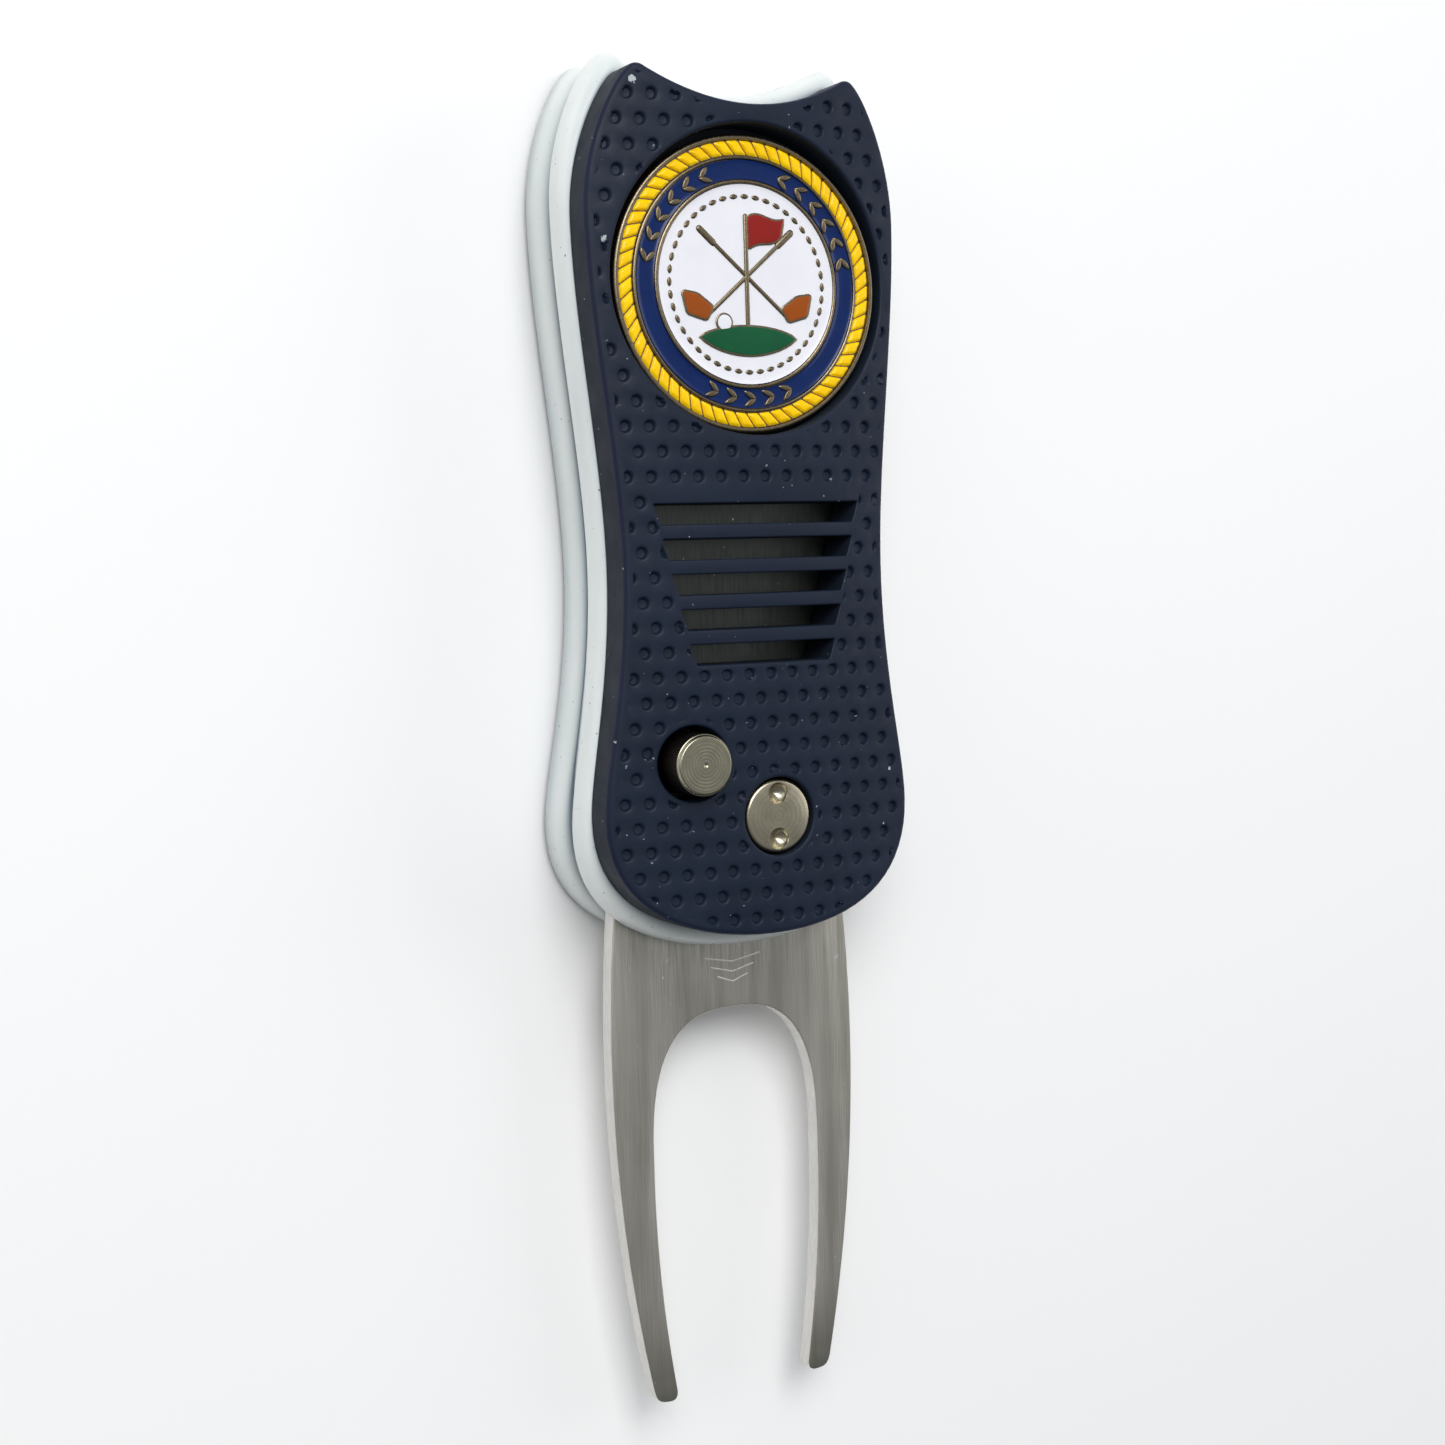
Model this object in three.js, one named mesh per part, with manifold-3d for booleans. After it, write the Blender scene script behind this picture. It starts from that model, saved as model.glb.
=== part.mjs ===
// Divot repair tool: a flip-out fork between two painted plates, with a grip cover on the front, a
// grip panel on the back, a lock button, and a round ball marker held by a magnet.
// Millimetres. The tool lies on its back: +Z out of the front face, +Y towards the ears, fork
// towards -Y. The origin is under the middle of the tool, within a quarter of a millimetre, on the
// surface it rests on.

import * as THREE from 'three';
import { mergeVertices } from 'three/addons/utils/BufferGeometryUtils.js';
import Module from 'manifold-3d';

// Outline of the grip cover, right half, from the bottom to the ear. The plates share it, scaled.
const SCALE_CENTRE_Y = 17;
const BOTTOM_Y = -15.45;
const HIP = { x: 14.1, y: -5.4 };
const WAIST = { x: 12.03, y: 14.6 };
const SHOULDER = { x: 14.2, y: 42.9 };
const EAR = { x: 9.5, y: 54.55 };
const NOTCH_Y = 51.75;
const PLATE_SCALE = { x: 1.04, y: 1.0477 };
const REAR_TRIM = 0.35; // the rear plate is this much slimmer at the waist and shoulder
const SPINE_SCALE = { x: 0.945, y: 0.95 };
const PANEL_SCALE = { x: 0.82, y: 0.83 };

const CLEARANCE = 0.05; // between pieces that seat in one another

// Heights of the stacked layers.
const PANEL_TOP = 1.2;
const REAR_PLATE = { low: 0.4, high: 3.85 };
const BLADE = { low: 4.05, high: 5.85 };
const FRONT_PLATE = { low: 6.0, high: 9.05 };
const CROWN_TOP = 13.4;
const CROWN_DROP = 0.00725; // fall of the crowned face, mm per mm squared away from the middle

// Ball marker and its seat. The seat is wider than the marker, and set a little up and right.
const MARKER = { x: 0, y: 37.5, radius: 12, low: 10.4, high: 12.1 };
const SEAT = { x: 0.15, y: 37.75, radius: 12.45, floor: 10.35 };
const MAGNET = { radius: 5, low: 9.1, high: 10.3 };

// Louvres, from the top one down.
const LOUVRE = { count: 5, top: 19.85, pitch: 2.83, height: 1.66, half: 9.48, taper: 0.68, slant: 0.6 };
const BACKING = { top: 21, bottom: 5.8, topHalf: 10.2, bottomHalf: 7.3, low: 7.6, high: 8.4 };

// Pivot and lock.
const PIVOT = { x: 0.9, y: -5.8 };
const SLEEVE_RADIUS = 2.6;
const SHANK_RADIUS = 2;
const SCREW_HEAD = { radius: 3.05, low: 11.5, high: 13.1 };
const SPANNER_HOLE = { radius: 0.85, offset: 1.87, depth: 0.7 };
const NUT_HEAD = { radius: 3.2, low: 0.35, high: 1.22 };
const WASHER = { radius: 4.6, low: 3.45 };
const SPRING_POCKET = { radius: 6.1, high: 8.3 };
const BUTTON = { x: -6.7, y: -1, radius: 2.55, top: 15.1, travel: 1.5 };
const COLLAR = { radius: 2.9, low: 4.3, high: 5.9 };
const BUTTON_POCKET = { radius: 3.2, floor: 1.75 };
const BUTTON_HOLE_RADIUS = 3.2;
const TORSION_SPRING = { radius: 4.8, wire: 0.3, low: 6.45, high: 7.85, turns: 1.8 };
const BUTTON_SPRING = { radius: 1.9, wire: 0.2, turns: 3 };
const STOP_PIN = { x: -8.9, y: -9.9, radius: 1, low: 2, high: 8 };

// Fork. Its outer edges are shallow parabolas, and the gap ends in a squared-off arch.
const FORK = { outerHalf: 11.57, outerY: -26.5, outerBend: 0.00372, shoulderY: -11, tipY: -55.8 };
const GAP = { half: 7.95, archY: -35, archRise: 12.35, power: 2.7, bendY: -36.5, bend: 0.0044 };
const TANG_RADIUS = 6;
const TIP_ROUND = 0.4;

// Screws: three through the handle from the back, four that hold the cover to the front plate.
const REAR_SCREW = { head: 1.4, low: 0.45, shoulder: 1.3, high: 8.5 };
const COVER_SCREW = { head: 1.35, low: 6.05, shoulder: 7, high: 11.5 };
const SCREW_SHANK = 0.7;
const SCREW_HOLE = { rear: 0.85, cover: 0.75 };
const REAR_SCREWS = [[-8.9, 49.3], [8.9, 49.3], [-11.1, 4]];
const COVER_SCREWS = [[-10.9, -5.6], [10.9, -5.6], [-10.5, 25], [10.5, 25]];

const wasm = await Module();
wasm.setup();

function toSolid(geometry) {
  const bare = geometry.index ? geometry.toNonIndexed() : geometry.clone();
  bare.deleteAttribute('normal');
  bare.deleteAttribute('uv');
  const merged = mergeVertices(bare, 1e-4);
  return new wasm.Manifold(new wasm.Mesh({
    numProp: 3,
    vertProperties: new Float32Array(merged.attributes.position.array),
    triVerts: new Uint32Array(merged.index.array),
  }));
}

function toGeometry(solid) {
  const { numProp, vertProperties, triVerts } = solid.getMesh();
  const position = [];
  for (let i = 0; i < vertProperties.length; i += numProp) {
    position.push(vertProperties[i], vertProperties[i + 1], vertProperties[i + 2]);
  }
  const geometry = new THREE.BufferGeometry();
  geometry.setAttribute('position', new THREE.Float32BufferAttribute(position, 3));
  geometry.setIndex(Array.from(triVerts));
  geometry.computeVertexNormals();
  return geometry;
}

// Solid from an outline, between two heights.
function slab(shape, low, high, curveSegments = 10) {
  const geometry = new THREE.ExtrudeGeometry(shape, {
    depth: high - low, bevelEnabled: false, curveSegments,
  });
  return toSolid(geometry.translate(0, 0, low));
}

function cylinder(x, y, radius, low, high, segments = 32) {
  const geometry = new THREE.CylinderGeometry(radius, radius, high - low, segments);
  geometry.rotateX(Math.PI / 2).translate(x, y, (low + high) / 2);
  return toSolid(geometry);
}

// Turned part about a vertical axis. The profile holds [radius, height] pairs.
function turned(x, y, profile, segments = 32) {
  const points = profile.map(([radius, height]) => new THREE.Vector2(radius, height));
  const geometry = new THREE.LatheGeometry(points, segments);
  return toSolid(geometry.rotateX(Math.PI / 2).translate(x, y, 0));
}

function ring(x, y, inner, outer, low, high, segments = 32) {
  return cylinder(x, y, outer, low, high, segments)
    .subtract(cylinder(x, y, inner, low - 1, high + 1, segments));
}

function cutAll(solid, cutters) {
  return cutters.reduce((result, cutter) => result.subtract(cutter), solid);
}

// The outline shared by the cover, plates, spine and panel. Trim slims the waist and shoulder.
function handleShape(scale = { x: 1, y: 1 }, trim = 0) {
  const shape = new THREE.Shape();
  const waist = WAIST.x - trim;
  const shoulder = SHOULDER.x - trim;
  const x = (value) => value * scale.x;
  const y = (value) => SCALE_CENTRE_Y + (value - SCALE_CENTRE_Y) * scale.y;
  const curve = (side, a, b, c) => {
    const [[ax, ay], [bx, by], [cx, cy]] = [a, b, c];
    shape.bezierCurveTo(x(side * ax), y(ay), x(side * bx), y(by), x(side * cx), y(cy));
  };
  const earOut = [EAR.x + 0.55, EAR.y - 0.3];
  const earIn = [EAR.x - 0.6, EAR.y - 0.42];
  shape.moveTo(0, y(BOTTOM_Y));
  curve(1, [8, BOTTOM_Y], [HIP.x, HIP.y - 7], [HIP.x, HIP.y]);
  curve(1, [HIP.x, HIP.y + 4], [waist, WAIST.y - 9.5], [waist, WAIST.y]);
  curve(1, [waist, WAIST.y + 8.8], [shoulder, SHOULDER.y - 8.8], [shoulder, SHOULDER.y]);
  curve(1, [shoulder, SHOULDER.y + 5.3], [EAR.x + 1.9, EAR.y - 1.1], earOut);
  shape.quadraticCurveTo(x(EAR.x), y(EAR.y), x(earIn[0]), y(earIn[1]));
  shape.quadraticCurveTo(0, y(2 * NOTCH_Y - EAR.y + 0.42), x(-earIn[0]), y(earIn[1]));
  shape.quadraticCurveTo(x(-EAR.x), y(EAR.y), x(-earOut[0]), y(earOut[1]));
  curve(-1, [EAR.x + 1.9, EAR.y - 1.1], [shoulder, SHOULDER.y + 5.3], [shoulder, SHOULDER.y]);
  curve(-1, [shoulder, SHOULDER.y - 8.8], [waist, WAIST.y + 8.8], [waist, WAIST.y]);
  curve(-1, [waist, WAIST.y - 9.5], [HIP.x, HIP.y + 4], [HIP.x, HIP.y]);
  curve(-1, [HIP.x, HIP.y - 7], [8, BOTTOM_Y], [0, BOTTOM_Y]);
  return shape;
}

// A block with the crowned top, wider than the cover, used to trim it.
function crownBlock() {
  const reach = 16;
  const steps = 20;
  const profile = new THREE.Shape();
  profile.moveTo(reach, 0);
  for (let i = 0; i <= steps; i += 1) {
    const x = reach - (2 * reach * i) / steps;
    profile.lineTo(x, CROWN_TOP - CROWN_DROP * x * x);
  }
  profile.lineTo(-reach, 0);
  const geometry = new THREE.ExtrudeGeometry(profile, { depth: 90, bevelEnabled: false });
  return toSolid(geometry.rotateX(Math.PI / 2).translate(0, 65, 0));
}

function trapezoid(top, bottom, topHalf, bottomHalf) {
  return new THREE.Shape([
    new THREE.Vector2(-bottomHalf, bottom), new THREE.Vector2(bottomHalf, bottom),
    new THREE.Vector2(topHalf, top), new THREE.Vector2(-topHalf, top),
  ]);
}

function louvreSlots() {
  return Array.from({ length: LOUVRE.count }, (_, i) => {
    const top = LOUVRE.top - LOUVRE.pitch * i;
    const half = LOUVRE.half - LOUVRE.taper * i;
    const shape = trapezoid(top, top - LOUVRE.height, half, half - LOUVRE.slant);
    return slab(shape, FRONT_PLATE.high - 1, CROWN_TOP + 1);
  });
}

function frontCover() {
  const { low, high } = SCREW_HEAD;
  const blank = slab(handleShape(), FRONT_PLATE.high, CROWN_TOP + 1).intersect(crownBlock());
  const screwHoles = COVER_SCREWS.map(([x, y]) => cylinder(
    x, y, SCREW_HOLE.cover, 8, COVER_SCREW.high + 0.1, 12,
  ));
  return cutAll(blank, [
    cylinder(SEAT.x, SEAT.y, SEAT.radius, SEAT.floor, CROWN_TOP + 1, 64),
    cylinder(SEAT.x, SEAT.y, MAGNET.radius + CLEARANCE, 8, SEAT.floor + 1, 40),
    cylinder(BUTTON.x, BUTTON.y, BUTTON_HOLE_RADIUS, 8, CROWN_TOP + 1, 32),
    cylinder(PIVOT.x, PIVOT.y, SCREW_HEAD.radius + 0.2, low - CLEARANCE, high + 2, 32),
    cylinder(PIVOT.x, PIVOT.y, SHANK_RADIUS + 0.1, 8, CROWN_TOP, 24),
    ...louvreSlots(),
    ...screwHoles,
  ]);
}

function frontPlate() {
  const { low, high } = FRONT_PLATE;
  const { top, bottom, topHalf, bottomHalf } = BACKING;
  const window = trapezoid(top + 0.1, bottom - 0.1, topHalf + 0.1, bottomHalf + 0.1);
  const screwHoles = COVER_SCREWS.flatMap(([x, y]) => [
    cylinder(x, y, SCREW_HOLE.cover, low - 1, high + 1, 12),
    cylinder(x, y, COVER_SCREW.head + 0.1, low - 1, COVER_SCREW.shoulder + CLEARANCE, 20),
  ]);
  return cutAll(slab(handleShape(PLATE_SCALE), low, high), [
    slab(window, BACKING.low, high + 1),
    cylinder(BUTTON.x, BUTTON.y, BUTTON.radius + 0.1, low - 1, high + 1, 32),
    cylinder(PIVOT.x, PIVOT.y, SLEEVE_RADIUS + CLEARANCE, low - 1, high + 1, 24),
    cylinder(PIVOT.x, PIVOT.y, SPRING_POCKET.radius, low - 1, SPRING_POCKET.high, 32),
    cylinder(STOP_PIN.x, STOP_PIN.y, STOP_PIN.radius + CLEARANCE, low - 1, STOP_PIN.high + 0.05, 16),
    ...screwHoles,
    ...REAR_SCREWS.map(([x, y]) => cylinder(
      x, y, SCREW_HOLE.rear, low - 1, REAR_SCREW.high + 0.1, 12,
    )),
  ]);
}

function rearPlate() {
  const { low, high } = REAR_PLATE;
  const pocket = { x: PANEL_SCALE.x + 0.006, y: PANEL_SCALE.y + 0.003 };
  return cutAll(slab(handleShape(PLATE_SCALE, REAR_TRIM), low, high), [
    slab(handleShape(pocket), low - 1, PANEL_TOP + 0.05),
    cylinder(BUTTON.x, BUTTON.y, BUTTON_POCKET.radius, BUTTON_POCKET.floor, high + 1, 32),
    cylinder(PIVOT.x, PIVOT.y, SLEEVE_RADIUS + CLEARANCE, low - 1, high + 1, 24),
    cylinder(PIVOT.x, PIVOT.y, WASHER.radius + CLEARANCE, WASHER.low, high + 1, 32),
    cylinder(STOP_PIN.x, STOP_PIN.y, STOP_PIN.radius + CLEARANCE, STOP_PIN.low - 0.05, high + 1, 16),
    ...REAR_SCREWS.flatMap(([x, y]) => [
      cylinder(x, y, SCREW_HOLE.rear, low - 1, high + 1, 12),
      cylinder(x, y, REAR_SCREW.head + 0.1, low - 1, REAR_SCREW.shoulder + CLEARANCE, 20),
    ]),
  ]);
}

function rearPanel() {
  return cutAll(slab(handleShape(PANEL_SCALE), 0, PANEL_TOP), [
    cylinder(PIVOT.x, PIVOT.y, NUT_HEAD.radius + 0.2, -1, PANEL_TOP + 1, 32),
    cylinder(REAR_SCREWS[2][0], REAR_SCREWS[2][1], 1.9, -1, PANEL_TOP + 1, 20),
  ]);
}

// Half-width of the fork's outer edge at a height along its length.
function forkHalf(y) {
  return FORK.outerHalf - FORK.outerBend * (y - FORK.outerY) ** 2;
}

// Half-width of the gap between the tines, below the arch.
function gapHalf(y) {
  return GAP.half - GAP.bend * Math.max(0, GAP.bendY - y) ** 2;
}

// The closed fork lies turned half way round the pivot, so its left edge follows this line.
function closedEdge(y) {
  return 2 * PIVOT.x - forkHalf(2 * PIVOT.y - y);
}

// Spine: closes the handle on the left and at the top, and leaves the fork's whole path free.
function spineSpacer() {
  const path = new THREE.Shape();
  const margin = 0.35;
  const sweep = Math.hypot(forkHalf(FORK.tipY) + PIVOT.x, FORK.tipY - PIVOT.y) + margin;
  path.moveTo(-20, -10);
  path.lineTo(-11, -10);
  path.lineTo(closedEdge(2) - margin, -3);
  for (let y = 2; y <= 42; y += 5) path.lineTo(closedEdge(y) - margin, y);
  const start = Math.atan2(43.5 - PIVOT.y, closedEdge(43.5) - margin - PIVOT.x);
  path.absarc(PIVOT.x, PIVOT.y, sweep, start, -0.7, true);
  path.lineTo(20, -40);
  path.lineTo(-20, -40);
  return cutAll(slab(handleShape(SPINE_SCALE), REAR_PLATE.high, FRONT_PLATE.low), [
    slab(path, REAR_PLATE.high - 1, FRONT_PLATE.low + 1, 24),
    cylinder(BUTTON.x, BUTTON.y, COLLAR.radius + 0.3, 0, 10, 32),
    ...REAR_SCREWS.map(([x, y]) => cylinder(x, y, SCREW_HOLE.rear, 0, 10, 12)),
  ]);
}

function forkShape() {
  const shape = new THREE.Shape();
  const steps = 12;
  const outer = (i) => FORK.shoulderY - 1.5 + ((FORK.tipY + TIP_ROUND - FORK.shoulderY + 1.5) * i) / steps;
  const inner = (i) => FORK.tipY + TIP_ROUND + ((GAP.archY - FORK.tipY - TIP_ROUND) * i) / (steps / 2);
  const arch = (angle) => [
    GAP.half * Math.abs(Math.cos(angle)) ** (2 / GAP.power) * Math.sign(Math.cos(angle)),
    GAP.archY + GAP.archRise * Math.sin(angle) ** (2 / GAP.power),
  ];
  shape.moveTo(-FORK.outerHalf + 1.9, FORK.shoulderY);
  shape.quadraticCurveTo(-forkHalf(outer(0)), FORK.shoulderY, -forkHalf(outer(0)), outer(0));
  for (let i = 1; i <= steps; i += 1) shape.lineTo(-forkHalf(outer(i)), outer(i));
  shape.lineTo(-forkHalf(FORK.tipY) + TIP_ROUND, FORK.tipY);
  shape.lineTo(-gapHalf(FORK.tipY) - TIP_ROUND, FORK.tipY);
  for (let i = 0; i < steps / 2; i += 1) shape.lineTo(-gapHalf(inner(i)), inner(i));
  for (let i = 0; i <= 2 * steps; i += 1) shape.lineTo(...arch(Math.PI * (1 - i / (2 * steps))));
  for (let i = steps / 2 - 1; i >= 0; i -= 1) shape.lineTo(gapHalf(inner(i)), inner(i));
  shape.lineTo(gapHalf(FORK.tipY) + TIP_ROUND, FORK.tipY);
  shape.lineTo(forkHalf(FORK.tipY) - TIP_ROUND, FORK.tipY);
  for (let i = steps; i >= 0; i -= 1) shape.lineTo(forkHalf(outer(i)), outer(i));
  shape.lineTo(FORK.outerHalf - 1.9, FORK.shoulderY);
  return shape;
}

// Fork with its round tang. The notches face the lock button with the fork open and closed.
function forkBlade() {
  const { low, high } = BLADE;
  const closedButton = [2 * PIVOT.x - BUTTON.x, 2 * PIVOT.y - BUTTON.y];
  const blank = slab(forkShape(), low, high).add(
    cylinder(PIVOT.x, PIVOT.y, TANG_RADIUS, low, high, 40),
  );
  return cutAll(blank, [
    cylinder(PIVOT.x, PIVOT.y, SLEEVE_RADIUS + 0.06, low - 1, high + 1, 32),
    cylinder(BUTTON.x, BUTTON.y, COLLAR.radius + 0.6, low - 1, high + 1, 32),
    cylinder(closedButton[0], closedButton[1], COLLAR.radius + 0.3, low - 1, high + 1, 32),
    cylinder(closedButton[0] + 2, closedButton[1] + 2, COLLAR.radius + 0.3, low - 1, high + 1, 32),
  ]);
}

// Pivot screw: a flush head with two small holes for a pin spanner, and a plain shank.
function pivotScrew() {
  const { radius, low, high } = SCREW_HEAD;
  const edge = 0.3;
  const body = turned(PIVOT.x, PIVOT.y, [
    [0, 2.4], [SHANK_RADIUS - edge, 2.4], [SHANK_RADIUS, 2.4 + edge], [SHANK_RADIUS, low],
    [radius, low], [radius, high - edge], [radius - edge, high], [0, high],
  ]);
  return cutAll(body, [1, -1].map((side) =>
    cylinder(
      PIVOT.x, PIVOT.y + SPANNER_HOLE.offset * side, SPANNER_HOLE.radius,
      high - SPANNER_HOLE.depth, high + 1, 16,
    )));
}

// Barrel nut: a flanged sleeve from the back. The fork turns on its outside.
function pivotNut() {
  const { radius, low, high } = NUT_HEAD;
  return turned(PIVOT.x, PIVOT.y, [
    [0, low], [radius - 0.25, low], [radius, low + 0.25], [radius, high], [SLEEVE_RADIUS, high],
    [SLEEVE_RADIUS, 8.8], [SHANK_RADIUS + CLEARANCE, 8.8], [SHANK_RADIUS + CLEARANCE, 2.2], [0, 2.2],
  ]);
}

// Wire along a helix, with both ends flat cut.
function coil({ x, y }, { radius, wire, turns }, low, high) {
  class Helix extends THREE.Curve {
    getPoint(t, target = new THREE.Vector3()) {
      const angle = 2 * Math.PI * turns * t;
      return target.set(
        x + radius * Math.cos(angle), y + radius * Math.sin(angle), low + (high - low) * t,
      );
    }
  }
  const section = new THREE.Shape();
  for (let i = 0; i < 6; i += 1) {
    const angle = (Math.PI * i) / 3;
    section[i ? 'lineTo' : 'moveTo'](wire * Math.cos(angle), wire * Math.sin(angle));
  }
  const geometry = new THREE.ExtrudeGeometry(section, {
    extrudePath: new Helix(), steps: 36, bevelEnabled: false,
  });
  return toSolid(geometry);
}

function lockButton() {
  const { x, y, radius, top, travel } = BUTTON;
  const edge = 0.3;
  const foot = BUTTON_POCKET.floor + travel + CLEARANCE;
  return turned(x, y, [
    [0, foot], [1.1, foot], [1.1, COLLAR.low], [COLLAR.radius, COLLAR.low],
    [COLLAR.radius, COLLAR.high], [radius, COLLAR.high], [radius, top - edge],
    [radius - edge, top], [0, top],
  ]);
}

function ballMarker() {
  const { x, y, radius, low, high } = MARKER;
  const edge = 0.25;
  return turned(x, y, [
    [0, low], [radius - edge, low], [radius, low + edge], [radius, high - edge],
    [radius - edge, high], [0, high],
  ], 72);
}

// Small screw: a flat head at the low end and a plain shank above it.
function screw([x, y], { head, low, shoulder, high }) {
  return turned(x, y, [
    [0, low], [head, low], [head, shoulder], [SCREW_SHANK, shoulder], [SCREW_SHANK, high], [0, high],
  ], 20);
}

const FINISH = {
  navy: { color: 0x262e3e, roughness: 0.75, metalness: 0 },
  white: { color: 0xe1e8e8, roughness: 0.4, metalness: 0 },
  steel: { color: 0x96948c, roughness: 0.35, metalness: 1 },
  nickel: { color: 0xb8b09a, roughness: 0.25, metalness: 1 },
  bronze: { color: 0xa9884f, roughness: 0.4, metalness: 1 },
  magnet: { color: 0x8c8c8f, roughness: 0.3, metalness: 1 },
  marker: { color: 0x2a3f73, roughness: 0.2, metalness: 0.5 },
};

const tool = new THREE.Group();

function addPart(name, finish, solid) {
  const mesh = new THREE.Mesh(toGeometry(solid), new THREE.MeshStandardMaterial(FINISH[finish]));
  mesh.name = name;
  tool.add(mesh);
}

addPart('front_cover', 'navy', frontCover());
addPart('front_plate', 'white', frontPlate());
addPart('louvre_backing_plate', 'steel', slab(
  trapezoid(BACKING.top, BACKING.bottom, BACKING.topHalf, BACKING.bottomHalf),
  BACKING.low + CLEARANCE, BACKING.high,
));
addPart('marker_magnet', 'magnet', cylinder(
  SEAT.x, SEAT.y, MAGNET.radius, MAGNET.low, MAGNET.high, 40,
));
addPart('ball_marker', 'marker', ballMarker());
addPart('fork_blade', 'steel', forkBlade());
addPart('pivot_screw', 'nickel', pivotScrew());
addPart('pivot_nut', 'nickel', pivotNut());
addPart('pivot_bush', 'bronze', ring(
  PIVOT.x, PIVOT.y, SLEEVE_RADIUS + CLEARANCE, 3.6, BLADE.high + 0.05, SPRING_POCKET.high - 0.05,
));
addPart('rear_washer', 'bronze', ring(
  PIVOT.x, PIVOT.y, SLEEVE_RADIUS + CLEARANCE, WASHER.radius, WASHER.low + 0.02, BLADE.low - 0.03,
));
addPart('torsion_spring', 'steel', coil(
  PIVOT, TORSION_SPRING, TORSION_SPRING.low, TORSION_SPRING.high,
));
addPart('lock_button', 'nickel', lockButton());
addPart('button_spring', 'steel', coil(
  BUTTON, BUTTON_SPRING, BUTTON_POCKET.floor + 0.25, COLLAR.low - 0.25,
));
addPart('stop_pin', 'nickel', cylinder(
  STOP_PIN.x, STOP_PIN.y, STOP_PIN.radius, STOP_PIN.low, STOP_PIN.high, 16,
));
addPart('spine_spacer', 'white', spineSpacer());
addPart('rear_plate', 'white', rearPlate());
addPart('rear_grip_panel', 'navy', rearPanel());
REAR_SCREWS.forEach((place, i) => {
  addPart(`rear_screw_${i + 1}`, 'nickel', screw(place, REAR_SCREW));
});
COVER_SCREWS.forEach((place, i) => {
  addPart(`cover_screw_${i + 1}`, 'steel', screw(place, COVER_SCREW));
});

export default tool;
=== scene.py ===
"""Looks for a folding divot repair tool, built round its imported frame.

Shapes are worked out in millimetres, in the frame's own axes, and become metres when a mesh is made.
+Z points out of the front face, +Y towards the ears, and the fork points towards -Y.
"""

import math

import bmesh
import bpy
import numpy as np
from mathutils import Matrix, Vector, geometry, kdtree


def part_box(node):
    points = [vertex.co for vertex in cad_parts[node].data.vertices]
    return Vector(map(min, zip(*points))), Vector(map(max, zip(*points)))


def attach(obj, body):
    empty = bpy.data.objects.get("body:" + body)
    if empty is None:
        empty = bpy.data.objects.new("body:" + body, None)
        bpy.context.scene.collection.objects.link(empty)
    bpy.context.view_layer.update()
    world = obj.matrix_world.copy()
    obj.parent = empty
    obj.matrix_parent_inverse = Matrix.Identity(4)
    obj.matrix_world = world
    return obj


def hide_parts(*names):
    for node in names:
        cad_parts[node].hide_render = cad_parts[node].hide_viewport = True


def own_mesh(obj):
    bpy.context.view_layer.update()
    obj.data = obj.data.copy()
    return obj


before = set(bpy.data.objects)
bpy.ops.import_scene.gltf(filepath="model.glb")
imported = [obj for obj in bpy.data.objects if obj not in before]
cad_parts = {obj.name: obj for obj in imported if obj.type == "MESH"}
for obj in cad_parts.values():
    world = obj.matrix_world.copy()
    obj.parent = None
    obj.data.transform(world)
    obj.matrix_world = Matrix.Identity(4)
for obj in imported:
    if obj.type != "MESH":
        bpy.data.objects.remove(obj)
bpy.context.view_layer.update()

MM = 0.001

# Outline of the grip cover, right half, from the bottom to the ear. The plates share it, scaled.
SCALE_CENTRE_Y = 17
BOTTOM_Y = -15.45
HIP = (14.1, -5.4)
WAIST = (12.03, 14.6)
SHOULDER = (14.2, 42.9)
EAR = (9.5, 54.55)
NOTCH_Y = 51.75
COVER_SCALE = (1, 1)
PLATE_SCALE = (1.04, 1.0477)
PANEL_SCALE = (0.82, 0.83)
REAR_TRIM = 0.35

# Crowned face of the cover, and the dimples pressed into it.
CROWN_TOP = 13.4
CROWN_DROP = 0.00725
CREASE = 0.42
DIMPLE_PITCH = 2.0
DIMPLE_ORIGIN = (-11.54, 6.0)
DIMPLE_DEPTH = 0.36
DIMPLE_RINGS = ((0.68, 12), (0.58, 16), (0.51, 16), (0.43, 16), (0.35, 12), (0.27, 8))
DIMPLE_MARGIN = 0.72

# Openings in the cover.
SEAT = {"at": (0.15, 37.75), "radius": 12.45, "floor": 10.35, "magnet": 5.05}
BUTTON = {"at": (-6.7, -1.0), "hole": 3.08, "radius": 2.55}
PIVOT = {"at": (0.9, -5.8), "shank": 2.1, "depth": 1.65, "holes": 1.87}
LOUVRE = {"count": 5, "top": 19.85, "pitch": 2.83, "height": 1.66,
          "half": 9.48, "taper": 0.68, "slant": 0.6}
REAR_SCREWS = ((-8.9, 49.3), (8.9, 49.3), (-11.1, 4.0))
COVER_SCREWS = ((-10.9, -5.6), (10.9, -5.6), (-10.5, 25.0), (10.5, 25.0))
STOP_PIN = (-8.9, -9.9)

# Chips in the paint of the cover: place and radius.
CHIPS = ((-10.1, 53.0, 12.7, 0.3), (-12.8, 40.6, 12.2, 0.28), (-13.3, 1.2, 12.1, 0.22),
         (12.2, -2.7, 12.3, 0.12), (11.4, -7.3, 12.4, 0.14), (11.3, -8.0, 12.5, 0.1))

# Fork: half widths, curved as parabolas in y, and the arch between the tines, a superellipse.
FORK = {"half": 11.57, "y": -26.5, "bend": 0.00372, "shoulder": -11.0, "tip": -55.8}
GAP = {"half": 7.95, "arch": -35.0, "rise": 12.35, "power": 2.7, "bend_y": -36.5, "bend": 0.0044}

# Ball marker.
MARKER = {"at": (0.0, 37.5), "radius": 12.0}

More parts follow.
